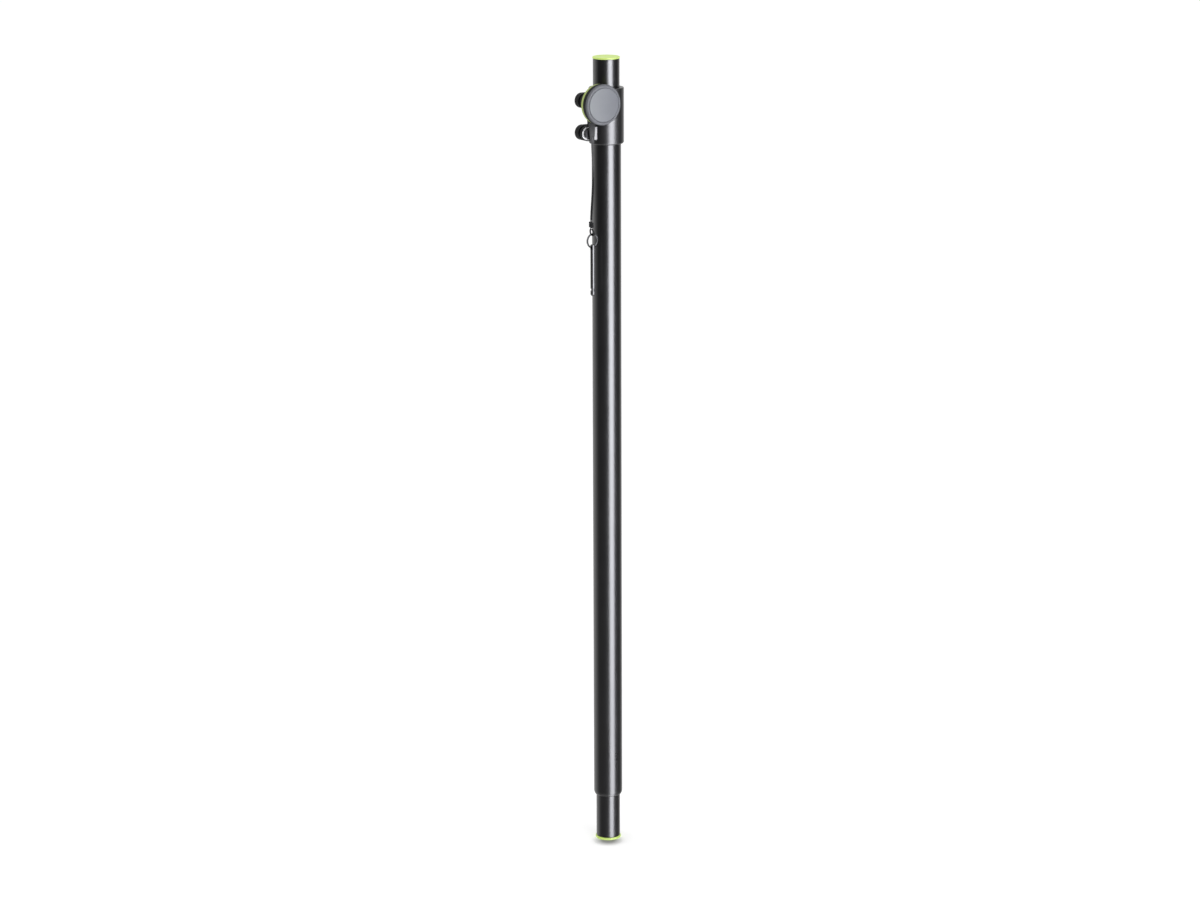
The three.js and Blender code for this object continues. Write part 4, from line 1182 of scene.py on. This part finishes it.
# Painted highlight: light grey where the strip light's reflection falls on the ears' flat faces,
# black elsewhere.
tree, skin = begun("faced_seat", 1600.0, 0.6)
highlight_masks = use(tree, seat, {})
step_highlight_colour = tinted(tree, skin["Tone"], (0.41, 0.41, 0.415), (0.49, 0.49, 0.495))
ring_highlight_colour = tinted(tree, skin["Tone"], (0.76, 0.76, 0.77), (0.84, 0.84, 0.85))
round_bolt_highlight = tinted(tree, highlight_masks["Ring"], (0.005, 0.005, 0.0055), ring_highlight_colour)
surfaced("faced_seat", {
    "Base Color": tinted(tree, highlight_masks["Step"], round_bolt_highlight, step_highlight_colour),
    "Metallic": times(tree, maths(tree, "MAXIMUM", highlight_masks["Ring"], highlight_masks["Step"]), 0.15),
    "Roughness": blended(tree, skin["Height"], 0.55, 0.68),
    "Specular IOR Level": 0.2, "Normal": raised(tree, skin["Height"], 0.008)})

tree = finish("turned_steel").node_tree
skin = use(tree, lathe, {"Pitch": 0.3, "Wander": 0.4})
surfaced("turned_steel", {
    "Base Color": tinted(tree, skin["Tone"], (0.22, 0.22, 0.223), (0.27, 0.27, 0.273)),
    "Metallic": 1.0, "Roughness": blended(tree, skin["Height"], 0.12, 0.2),
    "Normal": raised(tree, skin["Height"], 0.006)})

tree, skin = begun("polished_wire", 700.0, 0.5)
surfaced("polished_wire", {
    "Base Color": tinted(tree, skin["Tone"], (0.2, 0.203, 0.21), (0.26, 0.263, 0.272)),
    "Metallic": 1.0, "Roughness": blended(tree, skin["Height"], 0.07, 0.16),
    "Normal": raised(tree, skin["Height"], 0.002)})

# %% [markdown]
# ** Yarn.** The braid's strands are bundles of black fibre, so the yarn is dull, with a fuzzy sheen
# along its edges and a fine lengthways streak in its colour. Its upper length is painted a lighter
# grey as painted light, fading to near black below.

# %% Yarn
tree, fibre = begun("braided_yarn", 5200.0, 0.8)
# Painted light: the yarn is lighter grey above 940 mm and near black below 915 mm.
surfaced("braided_yarn", {
    "Base Color": tinted(tree, along(tree, "Z", 940, 915),
                         tinted(tree, fibre["Height"], (0.09, 0.09, 0.092), (0.17, 0.17, 0.174)),
                         tinted(tree, fibre["Height"], (0.008, 0.008, 0.009), (0.03, 0.03, 0.032))),
    "Roughness": 0.85, "Specular IOR Level": 0.15, "Sheen Weight": 0.05, "Sheen Roughness": 0.5,
    "Normal": raised(tree, fibre["Height"], 0.03)})
print("finishes so far:", len(finishes))

# %% [markdown]
# ## Studio
#
# The picture shows white all round and one soft, upright highlight on the tubes, so a tall strip
# of light stands square in front of the knob. The highlight fades a little towards the foot, so
# the strip's lower length is dimmer. It reaches below the floor's level, and the floor throws no
# shadow, so that its reflection runs on down to the foot. One more part lies face up, and keeps the
# reflection going where a surface turns downwards. Bright metal would flare in all of them, so the
# fasteners, the pin and the wire see a dimmed and wider strip in their place.
#
# The tubes are dark towards the camera and light along both sides, because the room is dark in
# front and white behind, below and above. The world gives that to what reflects it, white to the
# camera, and a soft light that comes mostly from behind to the rest. The floor is a white sheet.
# In front of the foot it has a small soft shade, which only the camera sees.

# %% Lamps
def softbox(name, place, width, height, radiance, colour, shows_in="glossy", tilt=90):
    """An area light of an even radiance, upright and facing +Y, or lying face up at 180. It shows
    in glossy or in diffuse surfaces, and never to the camera."""
    lamp = bpy.data.lights.new(name, "AREA")
    lamp.color = colour
    lamp.shape, lamp.size, lamp.size_y = "RECTANGLE", width, height
    lamp.energy = radiance * pi * width * height
    made = new_object(name, lamp)
    made.location = place
    made.rotation_euler = (radians(tilt), 0, 0)
    made.visible_camera = False
    made.visible_diffuse = shows_in == "diffuse"
    made.visible_glossy = shows_in == "glossy"
    print(name, "of", round(lamp.energy), "watts, seen in", shows_in, "surfaces")
    return made


strip_colour = (0.93, 0.94, 1)
softbox("key_softbox", (0.1, -2.4, 0.9), width=1.8, height=3.4, radiance=1.6, colour=(1, 1, 1),
        shows_in="diffuse")
strip = softbox("strip_light", (0.1, -2.0, 1.25), width=1.35, height=3.1, radiance=12.0,
                colour=strip_colour)
strip_low = softbox("strip_light_low", (0.1, -2.0, -0.85), width=1.35, height=1.1, radiance=9.0,
                    colour=strip_colour)
strip_foot = softbox("strip_light_foot", (0.25, -1.2, -1.4), width=0.9, height=1.6, radiance=8.0,
                     colour=strip_colour, tilt=180)
dim_strip = softbox("dimmed_strip_light", (0.45, -2.0, 0.7), width=2.5, height=4.2, radiance=2.8,
                    colour=(0.96, 0.96, 1))

# %% World
world = bpy.data.worlds.new("white_studio")
bpy.context.scene.world = world
world.use_nodes = True
tree = world.node_tree
tree.nodes.clear()
dark_side = Vector((-0.25, -0.968, 0))
white_light = (1, 1, 1, 1)
heading = put(tree, "ShaderNodeTexCoord").outputs["Generated"]
towards_dark = put(tree, "ShaderNodeVectorMath", {0: heading, 1: dark_side},
                   operation="DOT_PRODUCT").outputs["Value"]
direction = axes(tree, heading)
behind = ranged(tree, towards_dark, 0.1, -0.8, 0.02, 1.0, interpolation_type="SMOOTHSTEP")
below = ranged(tree, direction["Z"], -0.15, -0.8, 0.0, 0.5)
above = ranged(tree, direction["Z"], 0.25, 1.0, 0.0, 0.7)
reflected = maths(tree, "MAXIMUM", behind, maths(tree, "MAXIMUM", below, above))
from_behind = ranged(tree, direction["Y"], -1.0, 1.0, 0.4, 1.3)
rays = put(tree, "ShaderNodeLightPath").outputs
shiny = maths(tree, "MAXIMUM", rays["Is Glossy Ray"], rays["Is Transmission Ray"])
even, studio, white = [
    put(tree, "ShaderNodeBackground", {"Color": white_light, "Strength": strength}).outputs[0]
    for strength in (from_behind, reflected, 1.0)]
lit = put(tree, "ShaderNodeMixShader", {0: shiny, 1: even, 2: studio})
seen = put(tree, "ShaderNodeMixShader", {0: rays["Is Camera Ray"], 1: lit.outputs[0], 2: white})
put(tree, "ShaderNodeOutputWorld", {"Surface": seen.outputs[0]})
print("world nodes:", len(tree.nodes))

# %% Floor
floor_half_width, floor_glow = 12, 0.25
shade_middle, shade_reach, shade_core = (-0.0095, -0.0145, 0), 0.0235, 0.0075
form = bmesh.new()
bmesh.ops.create_grid(form, x_segments=1, y_segments=1, size=floor_half_width)
floor = as_piece("studio_floor", form)
floor.data.materials.append(finish("pale_floor"))
tree = finish("pale_floor").node_tree
seen_directly = put(tree, "ShaderNodeLightPath").outputs["Is Camera Ray"]
paper = noise(tree, own_place(tree), 40.0, 3.0)
from_middle = put(tree, "ShaderNodeVectorMath", {0: own_place(tree), 1: shade_middle},
                  operation="DISTANCE").outputs["Value"]
shade = ranged(tree, from_middle, shade_reach, shade_core)
glow = times(tree, times(tree, seen_directly, floor_glow), maths(tree, "SUBTRACT", 1.0, shade))
surfaced("pale_floor", {
    "Base Color": tinted(tree, times(tree, seen_directly, shade),
                         tinted(tree, paper, (0.9, 0.9, 0.9), (0.92, 0.92, 0.92)),
                         (0.35, 0.35, 0.335)),
    "Roughness": 0.9, "Specular IOR Level": 0.0, "Emission Color": white_light,
    "Emission Strength": glow})
floor.visible_glossy = False
floor.visible_shadow = False

# %% [markdown]
# ## Dress the pieces
#
# Each piece moves with its body of the imported model and stands for the plain node that it
# refines, which is hidden. The table also lists the slot of each piece. The last column gives the
# finish of a piece that has not got its own yet. Three plain nodes stay as they are, because they
# sit inside the tubes and only need their nylon.

# %% Dress and place
def coat(piece, material):
    """One finish over a whole piece, whatever its parts came with."""
    piece.data.materials.clear()
    piece.data.materials.append(finish(material))
    piece.data.polygons.foreach_set("material_index", [0] * len(piece.data.polygons))


for piece, body, slot, node, material in (
        (outer_tube, "pole_tube", "tube_black", "outer_tube", "satin_coat"),
        (spigot, "pole_tube", "tube_black", "spigot_tube", "satin_coat"),
        (foot_cap, "pole_tube", "lime_plastic", "foot_cap", "lime_plastic"),
        (collar, "pole_tube", "black_plastic", "clamp_collar", None),
        (washer, "pole_tube", "zinc_steel", "thrust_washer", "plated_steel"),
        (lower_bolt, "pole_tube", "zinc_steel", "lower_bolt", "blackened_steel"),
        (lower_nut, "pole_tube", "zinc_steel", "lower_nut", "plated_steel"),
        (upper_nut, "pole_tube", "zinc_steel", "upper_nut", "plated_steel"),
        (inner_tube, "mast", "tube_black", "inner_tube", "satin_coat"),
        (top_cap, "mast", "lime_plastic", "top_cap", "lime_plastic"),
        (spacer, "knob_carrier", "black_plastic", "stud_spacer", "moulded_black"),
        (knob_body, "knob", "black_plastic", "knob_body", "grained_black"),
        (knob_ring, "knob", "lime_plastic", "knob_ring", "lime_band"),
        (knob_pad, "knob", "pad_rubber", "knob_pad", None),
        (clamp_stud, "knob", "zinc_steel", "clamp_stud", "blackened_steel"),
        (hanger, "lanyard", "strap_rubber", "lanyard_hanger", "strap_rubber"),
        (cord, "lanyard", "cord_black", "lanyard_cord", None),
        (knot, "lanyard", "cord_black", "lanyard_knot", None),
        (loop, "lanyard", "cord_black", "cord_loop", None),
        (ring, "ring", "chrome_wire", "split_ring", None),
        (pin, "pin", "pin_steel", "locking_pin", "turned_steel")):
    if material:
        coat(piece, material)
    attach(piece, body)
    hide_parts(node)
for node in ("spigot_sleeve", "mast_plug", "collar_bush"):
    coat(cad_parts[node], "natural_nylon")

bright_metal = [pin, ring, lower_bolt, clamp_stud, lower_nut, upper_nut, washer]
coated = [piece for piece in bpy.context.scene.objects
          if piece.type == "MESH" and piece not in bright_metal]
for name, pieces, lamps in (("lit_by_dimmed_strip", bright_metal, [dim_strip]),
                            ("lit_by_strip", coated, [strip, strip_low, strip_foot])):
    receivers = bpy.data.collections.new(name)
    for piece in pieces:
        receivers.objects.link(piece)
    for lamp in lamps:
        lamp.light_linking.receiver_collection = receivers
print("pieces under the strip and under the dimmed one:", len(coated), len(bright_metal))
